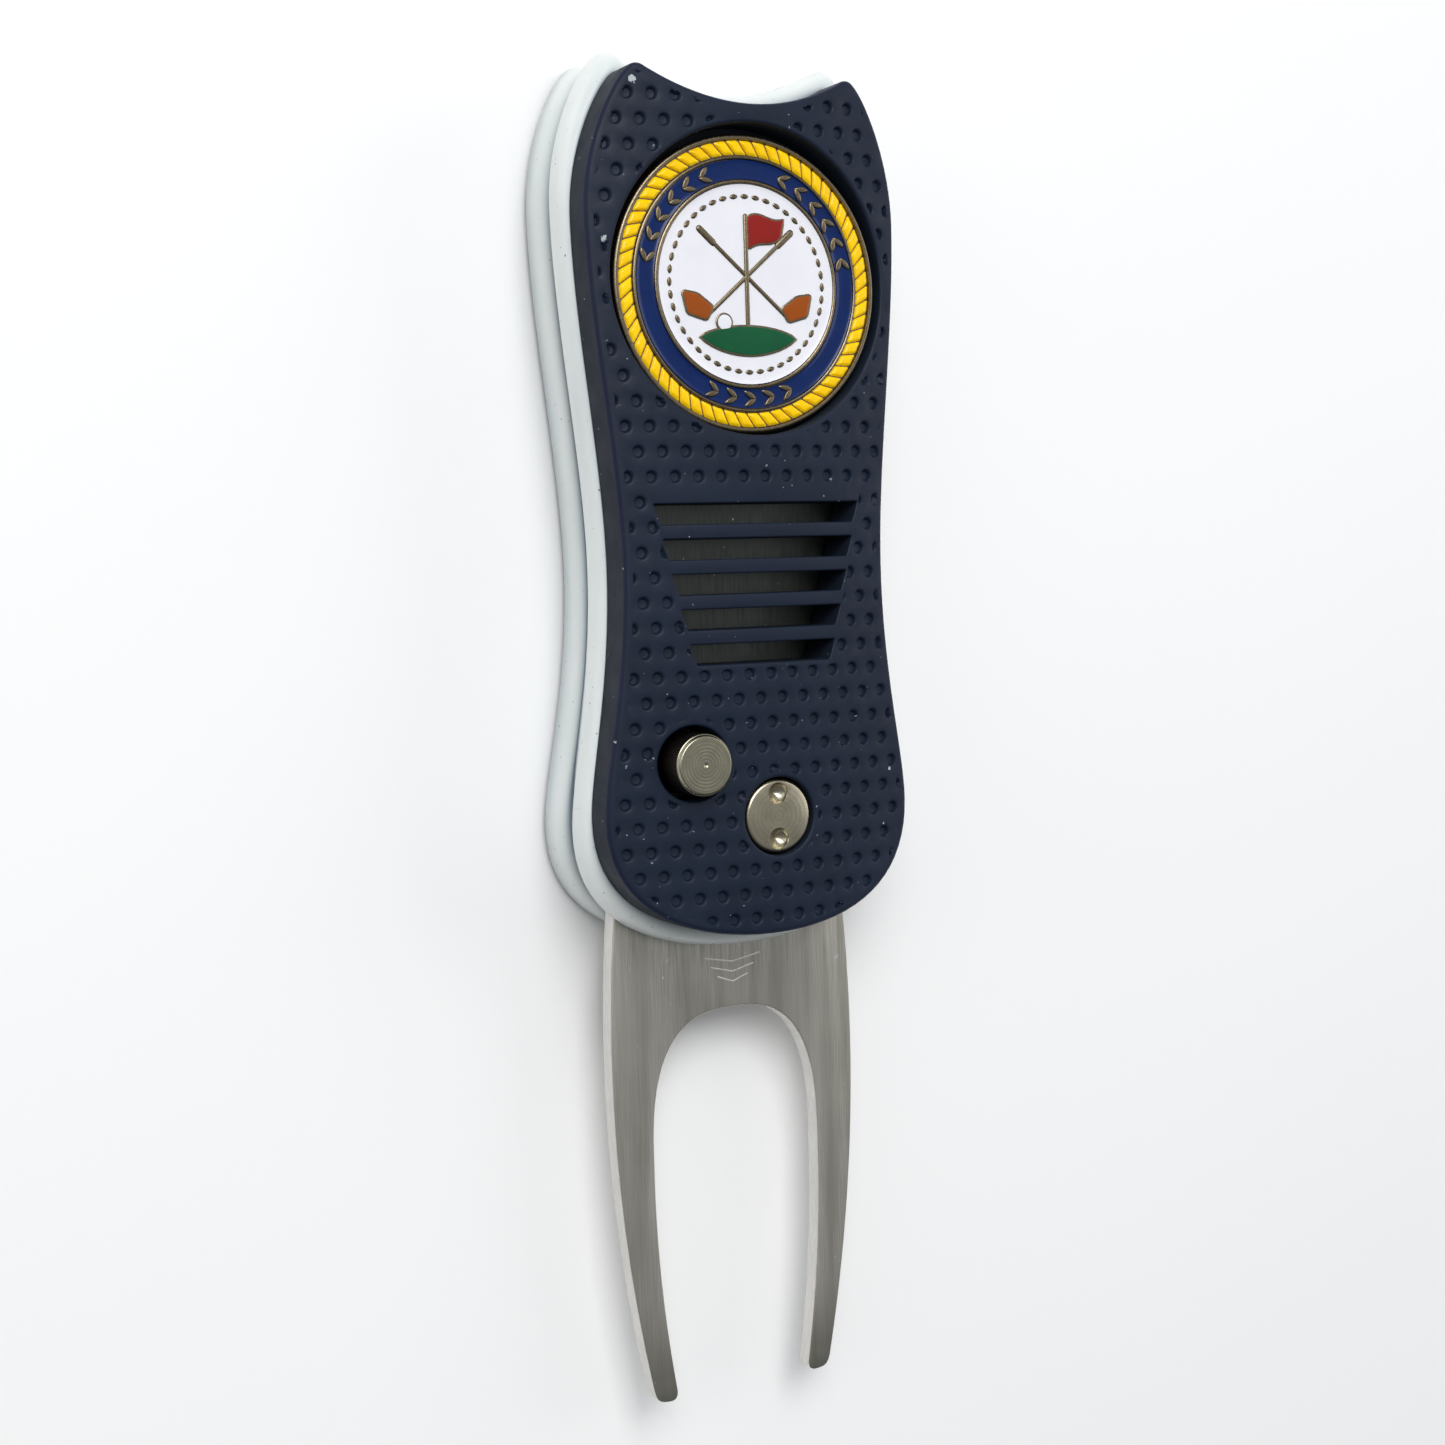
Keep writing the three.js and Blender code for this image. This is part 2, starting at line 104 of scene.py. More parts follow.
# Edges sharper than these are drawn sharp.
SMOOTH_ANGLE = math.radians(38)
PLATE_SMOOTH_ANGLE = math.radians(20)


def node_box(name):
    """Lowest and highest corners of a frame node, in millimetres."""
    low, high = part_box(name)
    return np.array(low) / MM, np.array(high) / MM


def heights(name):
    """Lowest and highest z of a frame node."""
    low, high = node_box(name)
    return low[2], high[2]


def round_node(name):
    """Lowest z, highest z and radius of a round frame node."""
    low, high = node_box(name)
    return low[2], high[2], (high[0] - low[0]) / 2


# ---- outlines


def bezier(points, steps):
    """Points along a Bezier curve of any degree, without its last one."""
    t = np.linspace(0, 1, steps, endpoint=False)[:, None]
    levels = [np.array(p, float) * np.ones_like(t) for p in points]
    while len(levels) > 1:
        levels = [a * (1 - t) + b * t for a, b in zip(levels, levels[1:])]
    return levels[0]


def handle_outline(scale=COVER_SCALE, trim=0.0):
    """Outline of the handle as points in order, anticlockwise from the middle of the bottom."""
    steps = 18
    waist, shoulder = WAIST[0] - trim, SHOULDER[0] - trim
    ear_out = (EAR[0] + 0.55, EAR[1] - 0.3)
    ear_in = (EAR[0] - 0.6, EAR[1] - 0.42)
    right = [
        [(0, BOTTOM_Y), (8, BOTTOM_Y), (HIP[0], HIP[1] - 7), HIP],
        [HIP, (HIP[0], HIP[1] + 4), (waist, WAIST[1] - 9.5), (waist, WAIST[1])],
        [(waist, WAIST[1]), (waist, WAIST[1] + 8.8), (shoulder, SHOULDER[1] - 8.8),
         (shoulder, SHOULDER[1])],
        [(shoulder, SHOULDER[1]), (shoulder, SHOULDER[1] + 5.3), (EAR[0] + 1.9, EAR[1] - 1.1), ear_out],
    ]
    half = [bezier(curve, steps) for curve in right]
    half.append(bezier([ear_out, EAR, ear_in], 8))
    notch = bezier([ear_in, (0, 2 * NOTCH_Y - ear_in[1]), (-ear_in[0], ear_in[1])], 2 * steps)
    points = np.concatenate([*half, notch])
    mirrored = np.concatenate([*half, [ear_in]])[::-1] * (-1, 1)
    points = np.concatenate([points, mirrored[:-1]])
    points[:, 0] *= scale[0]
    points[:, 1] = SCALE_CENTRE_Y + (points[:, 1] - SCALE_CENTRE_Y) * scale[1]
    return points


def circle(x, y, radius, steps=48):
    angle = np.linspace(0, 2 * math.pi, steps, endpoint=False)
    return np.c_[x + radius * np.cos(angle), y + radius * np.sin(angle)]


def polar(centre, radius, angle):
    return centre[0] + radius * math.cos(angle), centre[1] + radius * math.sin(angle)


def turned(points, angle):
    points = np.array(points, float)
    c, s = math.cos(angle), math.sin(angle)
    return np.c_[points[:, 0] * c - points[:, 1] * s, points[:, 0] * s + points[:, 1] * c]


def inset(points, distance):
    """The outline moved inwards by a distance, or outwards if it is negative."""
    along = np.roll(points, -1, 0) - np.roll(points, 1, 0)
    along /= np.linalg.norm(along, axis=1)[:, None]
    return points - np.c_[along[:, 1], -along[:, 0]] * distance


def rounded(corners, radius, steps=4):
    """A polygon with its corners rounded."""
    corners = np.array(corners, float)
    points = []
    for before, corner, after in zip(np.roll(corners, 1, 0), corners, np.roll(corners, -1, 0)):
        a = corner + (before - corner) / np.linalg.norm(before - corner) * radius
        b = corner + (after - corner) / np.linalg.norm(after - corner) * radius
        t = np.linspace(0, 1, steps + 1)[:, None]
        points.append(a * (1 - t) ** 2 + corner * 2 * t * (1 - t) + b * t**2)
    return np.concatenate(points)


def subdivided(points, longest=1.0):
    """The closed outline with extra points on its long sides."""
    out = []
    for a, b in zip(points, np.roll(points, -1, 0)):
        count = max(1, math.ceil(np.linalg.norm(b - a) / longest))
        out.extend(a + (b - a) * i / count for i in range(count))
    return np.array(out)


def louvre_outline(index, grow=0.0):
    top = LOUVRE["top"] - LOUVRE["pitch"] * index
    half = LOUVRE["half"] - LOUVRE["taper"] * index
    low, narrow = top - LOUVRE["height"], half - LOUVRE["slant"]
    corners = [(-narrow, low), (narrow, low), (half, top), (-half, top)]
    return inset(subdivided(rounded(corners, 0.18)), -grow)


def crown(x):
    return CROWN_TOP - CROWN_DROP * x**2


def inside(points, loops):
    """For each point, whether it is inside the first loop and outside the others."""
    points = np.asarray(points, float)
    result = np.zeros(len(points), bool)
    for loop in loops:
        for (ax, ay), (bx, by) in zip(loop, np.roll(loop, -1, 0)):
            if ay == by:
                continue
            spans = (points[:, 1] < ay) != (points[:, 1] < by)
            result ^= spans & (points[:, 0] < ax + (bx - ax) * (points[:, 1] - ay) / (by - ay))
    return result


# ---- mesh making


class Shell:
    """Collects points in millimetres and faces, and makes one mesh piece of them."""

    def __init__(self):
        self.points = []
        self.faces = []
        self.slots = []

    def add(self, points, z):
        """Adds points at a height, or at a height for each, and returns their numbers."""
        heights = np.broadcast_to(z, len(points))
        start = len(self.points)
        self.points.extend((p[0], p[1], h) for p, h in zip(points, heights))
        return list(range(start, len(self.points)))

    def face(self, corners, slot=0):
        self.faces.append(tuple(corners))
        self.slots.append(slot)

    def bridge(self, low, high, slot=0):
        """Joins two rings of as many points. The faces look outwards where high is above low."""
        count = len(low)
        for i in range(count):
            j = (i + 1) % count
            self.face((low[i], low[j], high[j], high[i]), slot)

    def skin(self, rings, slot=0):
        for low, high in zip(rings, rings[1:]):
            self.bridge(low, high, slot)

    def cap(self, loops, creases=(), loose=(), slot=0):
        """Fills the first loop, less the others, with triangles through every given point."""
        ids = [i for loop in (*loops, *creases) for i in loop] + list(loose)
        place = {index: n for n, index in enumerate(ids)}
        flat = [Vector(self.points[i][:2]) for i in ids]
        edges = [
            (place[a], place[b])
            for loop in (*loops, *creases)
            for a, b in zip(loop, [*loop[1:], loop[0]])
        ]
        made, _, triangles, origins, _, _ = geometry.delaunay_2d_cdt(flat, edges, [], 0, 1e-7)
        if len(made) != len(flat):
            raise ValueError(f"a cap's loops cross: {len(made)} points from {len(flat)}")
        number = [ids[o[0]] for o in origins]
        corners = np.array([list(v) for v in made])
        triangles = np.array(triangles)
        outlines = [np.array([self.points[i][:2] for i in loop]) for loop in loops]
        keep = inside(corners[triangles].mean(1), outlines)
        for triangle in triangles[keep]:
            self.face([number[i] for i in triangle], slot)

    def piece(self, name, body, *materials):
        mesh = bpy.data.meshes.new(name)
        mesh.from_pydata([tuple(c * MM for c in p) for p in self.points], [], self.faces)
        mesh.polygons.foreach_set("material_index", self.slots)
        obj = bpy.data.objects.new(name, mesh)
        bpy.context.scene.collection.objects.link(obj)
        for material in materials:
            mesh.materials.append(material)
        face_outwards(mesh)
        shade(mesh, SMOOTH_ANGLE)
        if body:
            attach(obj, body)
        return obj


def face_outwards(mesh):
    work = bmesh.new()
    work.from_mesh(mesh)
    bmesh.ops.recalc_face_normals(work, faces=work.faces)
    work.to_mesh(mesh)
    work.free()


def shade(mesh, angle):
    mesh.shade_smooth()
    mesh.set_sharp_from_angle(angle=angle)
    mesh.update()


def lathe(name, body, x, y, profile, *materials, steps=64, slots=None):
    """A turned piece. The profile holds (radius, height) from the bottom middle to the top middle."""
    shell = Shell()
    rings = []
    for radius, height in profile:
        if radius == 0:
            rings.append(shell.add([(x, y)], height))
        else:
            rings.append(shell.add(circle(x, y, radius, steps), height))
    for i, (low, high) in enumerate(zip(rings, rings[1:])):
        slot = slots[i] if slots else 0
        if len(low) == 1:
            for k in range(steps):
                shell.face((low[0], high[(k + 1) % steps], high[k]), slot)
        elif len(high) == 1:
            for k in range(steps):
                shell.face((low[k], low[(k + 1) % steps], high[0]), slot)
        else:
            shell.bridge(low, high, slot)
    return shell.piece(name, body, *materials)


def cutter(x, y, radius, low, high, steps=32):
    return lathe("cutter", None, x, y, [(0, low), (radius, low), (radius, high), (0, high)], steps=steps)


def combine(obj, others, operation="DIFFERENCE", smooth=SMOOTH_ANGLE):
    """Cuts the other solids from the piece, or joins them to it, and removes them."""
    for other in others:
        modifier = obj.modifiers.new("solid", "BOOLEAN")
        modifier.object = other
        modifier.operation = operation
        modifier.solver = "MANIFOLD"
    bpy.context.view_layer.update()
    graph = bpy.context.evaluated_depsgraph_get()
    mesh = bpy.data.meshes.new_from_object(obj.evaluated_get(graph))
    obj.modifiers.clear()
    obj.data = mesh
    for other in others:
        bpy.data.objects.remove(other)
    shade(mesh, smooth)


# ---- materials


def map_range(tree, value, low, high, out_low, out_high):
    node = tree.nodes.new("ShaderNodeMapRange")
    limits = {"From Min": low, "From Max": high, "To Min": out_low, "To Max": out_high}
    for key, number in limits.items():
        node.inputs[key].default_value = number
    tree.links.new(value, node.inputs["Value"])
    return node.outputs["Result"]


class Finish:
    """Builds one node material. Lengths in its textures are in millimetres."""

    def __init__(self, name, colour, roughness, metallic=0.0, coat=0.0):
        self.material = bpy.data.materials.new(name)
        self.material.use_nodes = True
        self.nodes = self.material.node_tree.nodes
        self.links = self.material.node_tree.links
        self.shader = self.nodes["Principled BSDF"]
        self.shader.inputs["Base Color"].default_value = (*colour, 1)
        self.shader.inputs["Roughness"].default_value = roughness
        self.shader.inputs["Metallic"].default_value = metallic
        self.shader.inputs["Coat Weight"].default_value = coat
        self.shader.inputs["Coat Roughness"].default_value = 0.12
        self.colour = None
        self.bumps = []
        self.coordinates = self.nodes.new("ShaderNodeTexCoord").outputs["Object"]

    def mapped(self, stretch=(1, 1, 1), offset=(0, 0, 0)):
        node = self.nodes.new("ShaderNodeMapping")
        node.inputs["Scale"].default_value = tuple(s / MM for s in stretch)
        node.inputs["Location"].default_value = offset
        self.links.new(self.coordinates, node.inputs["Vector"])
        return node.outputs["Vector"]

    def noise(self, size, detail=3.0, stretch=(1, 1, 1), offset=(0, 0, 0)):
        node = self.nodes.new("ShaderNodeTexNoise")
        node.inputs["Scale"].default_value = 1 / size
        node.inputs["Detail"].default_value = detail
        self.links.new(self.mapped(stretch, offset), node.inputs["Vector"])
        return node.outputs["Fac"]

    def ranged(self, value, low, high, out_low=0.0, out_high=1.0):
        return map_range(self.material.node_tree, value, low, high, out_low, out_high)

    def tint(self, factor, colour):
        """Mixes a colour over what is there, as the factor says."""
        node = self.nodes.new("ShaderNodeMix")
        node.data_type = "RGBA"
        if self.colour is None:
            node.inputs["A"].default_value = self.shader.inputs["Base Color"].default_value[:]
        else:
            self.links.new(self.colour, node.inputs["A"])
        node.inputs["B"].default_value = (*colour, 1)
        self.links.new(factor, node.inputs["Factor"])
        self.colour = node.outputs["Result"]
        self.links.new(self.colour, self.shader.inputs["Base Color"])
        return self

    def painted_crevice_shade(self, reach, colour, low, high):
        """Tints the places that other surfaces within reach close in, as painted shade."""
        node = self.nodes.new("ShaderNodeAmbientOcclusion")
        node.samples = 8
        node.inputs["Distance"].default_value = reach * MM
        return self.tint(self.ranged(node.outputs["AO"], low, high, 1, 0), colour)

    def distance(self, x, y, z=None):
        """Distance in millimetres from a point, or from a vertical axis."""
        flat = (1, 1, 0 if z is None else 1)
        node = self.nodes.new("ShaderNodeVectorMath")
        node.operation = "LENGTH"
        self.links.new(self.mapped(flat, (-x, -y, -(z or 0))), node.inputs[0])
        return node.outputs["Value"]

    def roughness(self, value):
        self.links.new(value, self.shader.inputs["Roughness"])
        return self

    def bump(self, value, height):
        """Height is the relief in millimetres from value 0 to value 1."""
        node = self.nodes.new("ShaderNodeBump")
        node.inputs["Distance"].default_value = height * MM
        self.links.new(value, node.inputs["Height"])
        if self.bumps:
            self.links.new(self.bumps[-1], node.inputs["Normal"])
        self.bumps.append(node.outputs["Normal"])
        self.links.new(self.bumps[-1], self.shader.inputs["Normal"])
        return self


def srgb(red, green, blue):
    """Linear colour from the usual 0 to 255 values."""
    values = (c / 255 for c in (red, green, blue))
    return tuple(c / 12.92 if c <= 0.04045 else ((c + 0.055) / 1.055) ** 2.4 for c in values)


def moulded_navy(name, colour, roughness=0.5):
    f = Finish(name, colour, roughness)
    f.tint(f.ranged(f.noise(6, 4), 0.35, 0.7, 0, 0.3), tuple(c * 1.5 + 0.003 for c in colour))
    f.tint(f.ranged(f.noise(0.4, 1, offset=(3, 1, 0)), 0.785, 0.8, 0, 0.7), srgb(150, 158, 168))
    ragged = f.noise(0.25, 2)
    for x, y, z, size in CHIPS:
        edge = f.nodes.new("ShaderNodeMath")
        edge.operation = "ADD"
        f.links.new(f.distance(x, y, z), edge.inputs[0])
        f.links.new(f.ranged(ragged, 0.3, 0.7, -0.5 * size, 0.5 * size), edge.inputs[1])
        f.tint(f.ranged(edge.outputs[0], size, size * 0.8, 0, 0.8), srgb(190, 198, 202))
    f.roughness(f.ranged(f.noise(2.5, 3), 0.3, 0.7, roughness - 0.08, roughness + 0.08))
    f.bump(f.noise(0.11, 2), 0.006).bump(f.noise(1.4, 2), 0.02)
    f.shader.inputs["Specular IOR Level"].default_value = 0.22
    return f.material


def painted_white(name):
    f = Finish(name, srgb(224, 229, 227), 0.4, coat=0.2)
    f.tint(f.ranged(f.noise(5, 3, (1, 0.3, 2)), 0.4, 0.75, 0, 0.5), srgb(205, 213, 214))
    f.tint(f.ranged(f.noise(0.35, 1), 0.765, 0.78, 0, 0.8), srgb(70, 74, 76))
    # Painted shade: blue-grey where other surfaces close in, first over a wide reach and then over a
    # tight one.
    f.painted_crevice_shade(3.4, srgb(96, 118, 134), 0.3, 0.95).painted_crevice_shade(0.9, srgb(60, 74, 84), 0.25, 0.7)
    # Painted shade: near black within 3.4 mm of the button's axis, round and inside its hole in the
    # plates.
    f.tint(f.ranged(f.distance(*BUTTON["at"]), 3.5, 3.4), srgb(26, 28, 30))
    f.roughness(f.ranged(f.noise(1.5, 3), 0.3, 0.7, 0.32, 0.46))
    f.bump(f.noise(0.6, 3, (1, 0.25, 1)), 0.012)
    return f.material


def brushed(name, colour, roughness, stretch, depth=0.004, dark=0.72, size=0.12):
    """Metal with fine scratches along the axis that stretch makes long."""
    f = Finish(name, colour, roughness, metallic=1.0)
    grain = f.noise(size, 4, stretch)
    f.tint(f.ranged(grain, 0.35, 0.65, 0.75, 0), tuple(c * dark for c in colour))
    f.tint(f.ranged(f.noise(9, 3), 0.35, 0.7, 0, 0.35), tuple(min(1, c * 1.2) for c in colour))
    f.tint(f.ranged(f.noise(0.4, 1, (1, 0.5, 1), (5, 2, 0)), 0.77, 0.78, 0, 0.8), srgb(225, 225, 220))
    f.roughness(f.ranged(grain, 0.3, 0.7, roughness + 0.1, roughness - 0.05))
    f.bump(grain, depth)
    return f


def fork_steel(name):
    """Brushed lengthwise, with painted shade that darkens the tines towards their tips."""
    f = brushed(name, srgb(206, 203, 193), 0.4, (1, 0.03, 1), 0.005, 0.55)
    f.tint(f.ranged(f.noise(1.6, 2, (1, 0.05, 1), (2, 0, 0)), 0.45, 0.7, 0, 0.4), srgb(132, 131, 121))
    # Painted shade: darker towards the tips of the tines.
    f.tint(f.ranged(f.distance(0, FORK["tip"] - 70, 0), 80, 73, 0, 0.55), srgb(104, 104, 92))
    return f.material


def turned_metal(name, colour, place, roughness=0.28, pitch=0.26):
    """Metal with fine rings round a vertical axis through the place, as a lathe leaves."""
    f = Finish(name, colour, roughness, metallic=1.0)
    wave = f.nodes.new("ShaderNodeTexWave")
    wave.wave_type = "RINGS"
    wave.rings_direction = "Z"
    wave.inputs["Scale"].default_value = 0.314 / pitch
    wave.inputs["Distortion"].default_value = 0.5
    x, y = place["at"]
    f.links.new(f.mapped(offset=(-x, -y, 0)), wave.inputs["Vector"])
    rings = wave.outputs["Fac"]
    f.tint(f.ranged(rings, 0, 1, 0.35, 0), tuple(c * 0.72 for c in colour))
    f.tint(f.ranged(f.noise(1.6, 3), 0.4, 0.7, 0, 0.3), tuple(c * 0.85 for c in colour))
    f.roughness(f.ranged(f.noise(0.9, 2), 0.3, 0.7, roughness - 0.03, roughness + 0.06))
    f.bump(rings, 0.0015)
    return f.material


def plain_metal(name, colour, roughness=0.35, size=0.5):
    f = Finish(name, colour, roughness, metallic=1.0)
    f.tint(f.ranged(f.noise(size, 4), 0.35, 0.7, 0, 0.4), tuple(c * 0.75 for c in colour))
    f.roughness(f.ranged(f.noise(size * 0.6, 3), 0.3, 0.7, roughness - 0.08, roughness + 0.12))
    f.bump(f.noise(size * 0.3, 3), 0.006)
    return f.material


def enamel(name, colour, deep=None):
    f = Finish(name, colour, 0.22, coat=0.2)
    f.shader.inputs["Coat Roughness"].default_value = 0.04
    f.shader.inputs["Specular IOR Level"].default_value = 0.2
    f.tint(f.ranged(f.noise(1.6, 3), 0.4, 0.7, 0, 0.5), deep or tuple(c * 0.75 for c in colour))
    f.roughness(f.ranged(f.noise(0.8, 2), 0.3, 0.7, 0.18, 0.3))
    f.bump(f.noise(1.8, 1), 0.02)
    return f.material


NAVY_FACE = moulded_navy("navy_face", srgb(18, 28, 45))
NAVY_WALL = moulded_navy("navy_wall", srgb(22, 30, 42), 0.6)
# Painted shade: a darker, bluer copy of the navy for the cover's rounded top edge.
NAVY_CREASE_SHADE = moulded_navy("navy_crease_shade", srgb(17, 24, 48), 0.45)
WHITE = painted_white("white_paint")
FORK_FACE = fork_steel("fork_face")
FORK_EDGE = brushed("fork_edge", srgb(224, 222, 218), 0.6, (0.3, 0.3, 1), 0.001, 0.92, 0.3).material
ETCHED = plain_metal("etched_steel", srgb(222, 220, 214), 0.6)
BACKING = brushed("backing_steel", srgb(98, 102, 98), 0.42, (1, 0.05, 1)).material
NICKEL = plain_metal("nickel", srgb(190, 184, 168), 0.26)
STEEL = plain_metal("plain_steel", srgb(160, 161, 163), 0.38)
SPRING = brushed("spring_steel", srgb(140, 141, 144), 0.32, (0.4, 0.4, 2.0), size=0.15).material
BRONZE = turned_metal("bearing_bronze", srgb(176, 140, 84), PIVOT, 0.35)
MAGNET = plain_metal("magnet_plate", srgb(176, 176, 178), 0.2, 0.9)
ANTIQUE = plain_metal("antique_metal", srgb(122, 110, 90), 0.3, 0.35)
BUTTON_TOP = turned_metal("button_nickel", srgb(166, 162, 142), BUTTON, 0.26)
# Painted shade: the button's metal made dark on its side, which sits down in the hole.
BUTTON_SIDE_SHADE = plain_metal("button_side_shade", srgb(44, 40, 36), 0.4, 0.3)
PIVOT_TOP = turned_metal("pivot_nickel", srgb(178, 171, 150), PIVOT, 0.26, 0.4)
NUT_FACE = turned_metal("nut_nickel", srgb(176, 170, 152), PIVOT, 0.28, 0.4)
YELLOW = enamel("yellow_enamel", srgb(252, 208, 0), srgb(236, 176, 0))
BLUE = enamel("blue_enamel", srgb(0, 32, 88), srgb(0, 26, 74))
FIELD = enamel("white_enamel", srgb(232, 232, 238), srgb(222, 223, 232))
RED = enamel("red_enamel", srgb(140, 26, 20))
GREEN = enamel("green_enamel", srgb(10, 84, 50))
BROWN = enamel("brown_enamel", srgb(150, 72, 10))


# ---- grip cover and rear panel


def dimple_centres():
    x0, y0 = DIMPLE_ORIGIN
    rows = range(-12, 26)
    return np.array([
        (x0 + DIMPLE_PITCH * (i + 0.5 * (row % 2)), y0 + DIMPLE_PITCH * row)
        for row in rows
        for i in range(-2, 15)
    ])


def tree_of(points):
    tree = kdtree.KDTree(len(points))
    for i, (x, y) in enumerate(points):
        tree.insert((x, y, 0), i)
    tree.balance()
    return tree


def nearest(tree, points):
    return np.array([tree.find((x, y, 0))[2] for x, y in points])


def dimple_profile(distance):
    """Depth of a dimple at a distance from its middle, as a share of the full depth."""
    wall = np.clip((0.54 - distance) / 0.22, 0, 1)
    lip = np.clip((0.68 - distance) / 0.2, 0, 1)
    return 0.88 * wall**2 * (3 - 2 * wall) + 0.12 * lip**2 * (3 - 2 * lip)


def dimpled_face(shell, outer, holes, keep_out, height, depth):
    """Fills a face between rings that are in place, with dimples and with points to follow its crown.

    Dimples stay inside the first loop of keep_out and outside the others.
    """
    loops = [np.array([shell.points[i][:2] for i in ring]) for ring in (outer, *holes)]
    margins = tree_of(np.concatenate([subdivided(loop, 0.15) for loop in keep_out]))
    edges = tree_of(np.concatenate([subdivided(loop, 0.15) for loop in loops]))
    centres = dimple_centres()
    centre_tree = tree_of(centres)

    def dimpled(points):
        band = np.clip(nearest(margins, points) / 0.12, 0, 1) * inside(points, keep_out)
        return height(points) - depth * dimple_profile(nearest(centre_tree, points)) * band

    reach = np.array([circle(*centre, 0.5, 8) for centre in centres])
    open_to = inside(reach.reshape(-1, 2), keep_out).reshape(len(centres), -1).any(1)
    centres = centres[open_to]
    rings = [circle(*centre, radius, steps) for centre in centres for radius, steps in DIMPLE_RINGS]
    points = np.concatenate([*rings, centres])
    clear = inside(points, loops) & (nearest(edges, points) > 0.1)
    numbers = np.full(len(points), -1)
    numbers[clear] = shell.add(points[clear], dimpled(points[clear]))
    loose = [int(i) for i in numbers[-len(centres):] if i >= 0]
    creases = []
    start = 0
    for ring in rings:
        found = [int(i) for i in numbers[start:start + len(ring)]]
        start += len(ring)
        if min(found) >= 0:
            creases.append(found)
        else:
            loose.extend(i for i in found if i >= 0)
    low, high = loops[0].min(0), loops[0].max(0)
    across, along = np.meshgrid(np.arange(low[0], high[0], 1.0), np.arange(low[1], high[1], 1.0))
    grid = np.c_[across.ravel(), along.ravel()]
    taken = tree_of(points[clear])
    grid = grid[inside(grid, loops) & (nearest(edges, grid) > 0.4) & (nearest(taken, grid) > 0.3)]
    loose.extend(shell.add(grid, dimpled(grid)))
    shell.cap([outer, *holes], creases, loose)


def rim(shell, points, height, radius, side=-1, steps=4):
    """Rings that round an upper edge, up to the face. Side is 1 for an outline and -1 for a hole."""
    rings = []
    for angle in np.linspace(0, math.pi / 2, steps + 1):
        ring = inset(points, side * radius * (1 - math.cos(angle)))
        rings.append(shell.add(ring, height(ring) - radius * (1 - math.sin(angle))))
    return rings


def louvre_field():
    """The plain area round the louvres, which has no dimples."""
    last = LOUVRE["count"] - 1
    top = LOUVRE["top"] + 0.75
    low = LOUVRE["top"] - LOUVRE["pitch"] * last - LOUVRE["height"] - 0.4
    wide = LOUVRE["half"] + 0.3
    narrow = wide - LOUVRE["taper"] * last - LOUVRE["slant"]
    return subdivided(np.array([(-narrow, low), (narrow, low), (wide, top), (-wide, top)]))


def bored_recess(shell, mouth, outline, floor, bore, low):
    """A recess below its mouth, with a bore through its floor. Returns the bore's lowest ring."""
    edge = shell.add(outline, floor)
    shell.bridge(mouth, edge, 1)
    top, bottom = shell.add(bore, floor), shell.add(bore, low)
    shell.cap([edge, top], slot=1)
    shell.bridge(top, bottom, 1)
    return bottom


def front_cover():
    shell = Shell()
    low = heights("front_cover")[0]
    _, head_top, head_radius = round_node("pivot_screw")
    outline = handle_outline()

    def face_height(points):
        return crown(points[:, 0])

    crease = rim(shell, outline, face_height, CREASE, 1, 6)
    foot = shell.add(outline, low)
    shell.bridge(foot, crease[0], 1)
    # Slot 2 on the rounded edge is the darker navy, painted as shade along it.
    shell.skin(crease[:5], 2)
    shell.skin(crease[4:], 0)

    seat = circle(*SEAT["at"], SEAT["radius"], 96)
    button = circle(*BUTTON["at"], BUTTON["hole"])
    pivot = circle(*PIVOT["at"], head_radius + 0.2)
    slots = [louvre_outline(i) for i in range(LOUVRE["count"])]
    rims = []
    for hole, radius in [(button, 0.2), *[(slot, 0.16) for slot in slots], (seat, 0.3), (pivot, 0.22)]:
        rims.append(rim(shell, hole, face_height, radius))
        shell.skin(rims[-1])
    keep_out = [inset(outline, DIMPLE_MARGIN), *[inset(hole, -0.5) for hole in (seat, button, pivot)],
                louvre_field()]
    dimpled_face(shell, crease[-1], [rings[-1] for rings in rims], keep_out, face_height, DIMPLE_DEPTH)

    bottoms = []
    for rings, hole in zip(rims, [button, *slots]):
        bottoms.append(shell.add(hole, low))
        shell.bridge(rings[0], bottoms[-1], 1)
    magnet = circle(*SEAT["at"], SEAT["magnet"])
    bottoms.append(bored_recess(shell, rims[-2][0], seat, SEAT["floor"], magnet, low))
    shank = circle(*PIVOT["at"], PIVOT["shank"], 32)
    bottoms.append(bored_recess(shell, rims[-1][0], pivot, head_top - PIVOT["depth"], shank, low))
    for x, y in COVER_SCREWS:
        hole = circle(x, y, 0.75, 16)
        mouth, end = shell.add(hole, low), shell.add(hole, 11.6)
        shell.bridge(mouth, end, 1)
        shell.cap([end], slot=1)
        bottoms.append(mouth)
    shell.cap([foot, *bottoms], slot=1)
    cover = shell.piece("grip_cover", "handle", NAVY_FACE, NAVY_WALL, NAVY_CREASE_SHADE)
    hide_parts("front_cover")


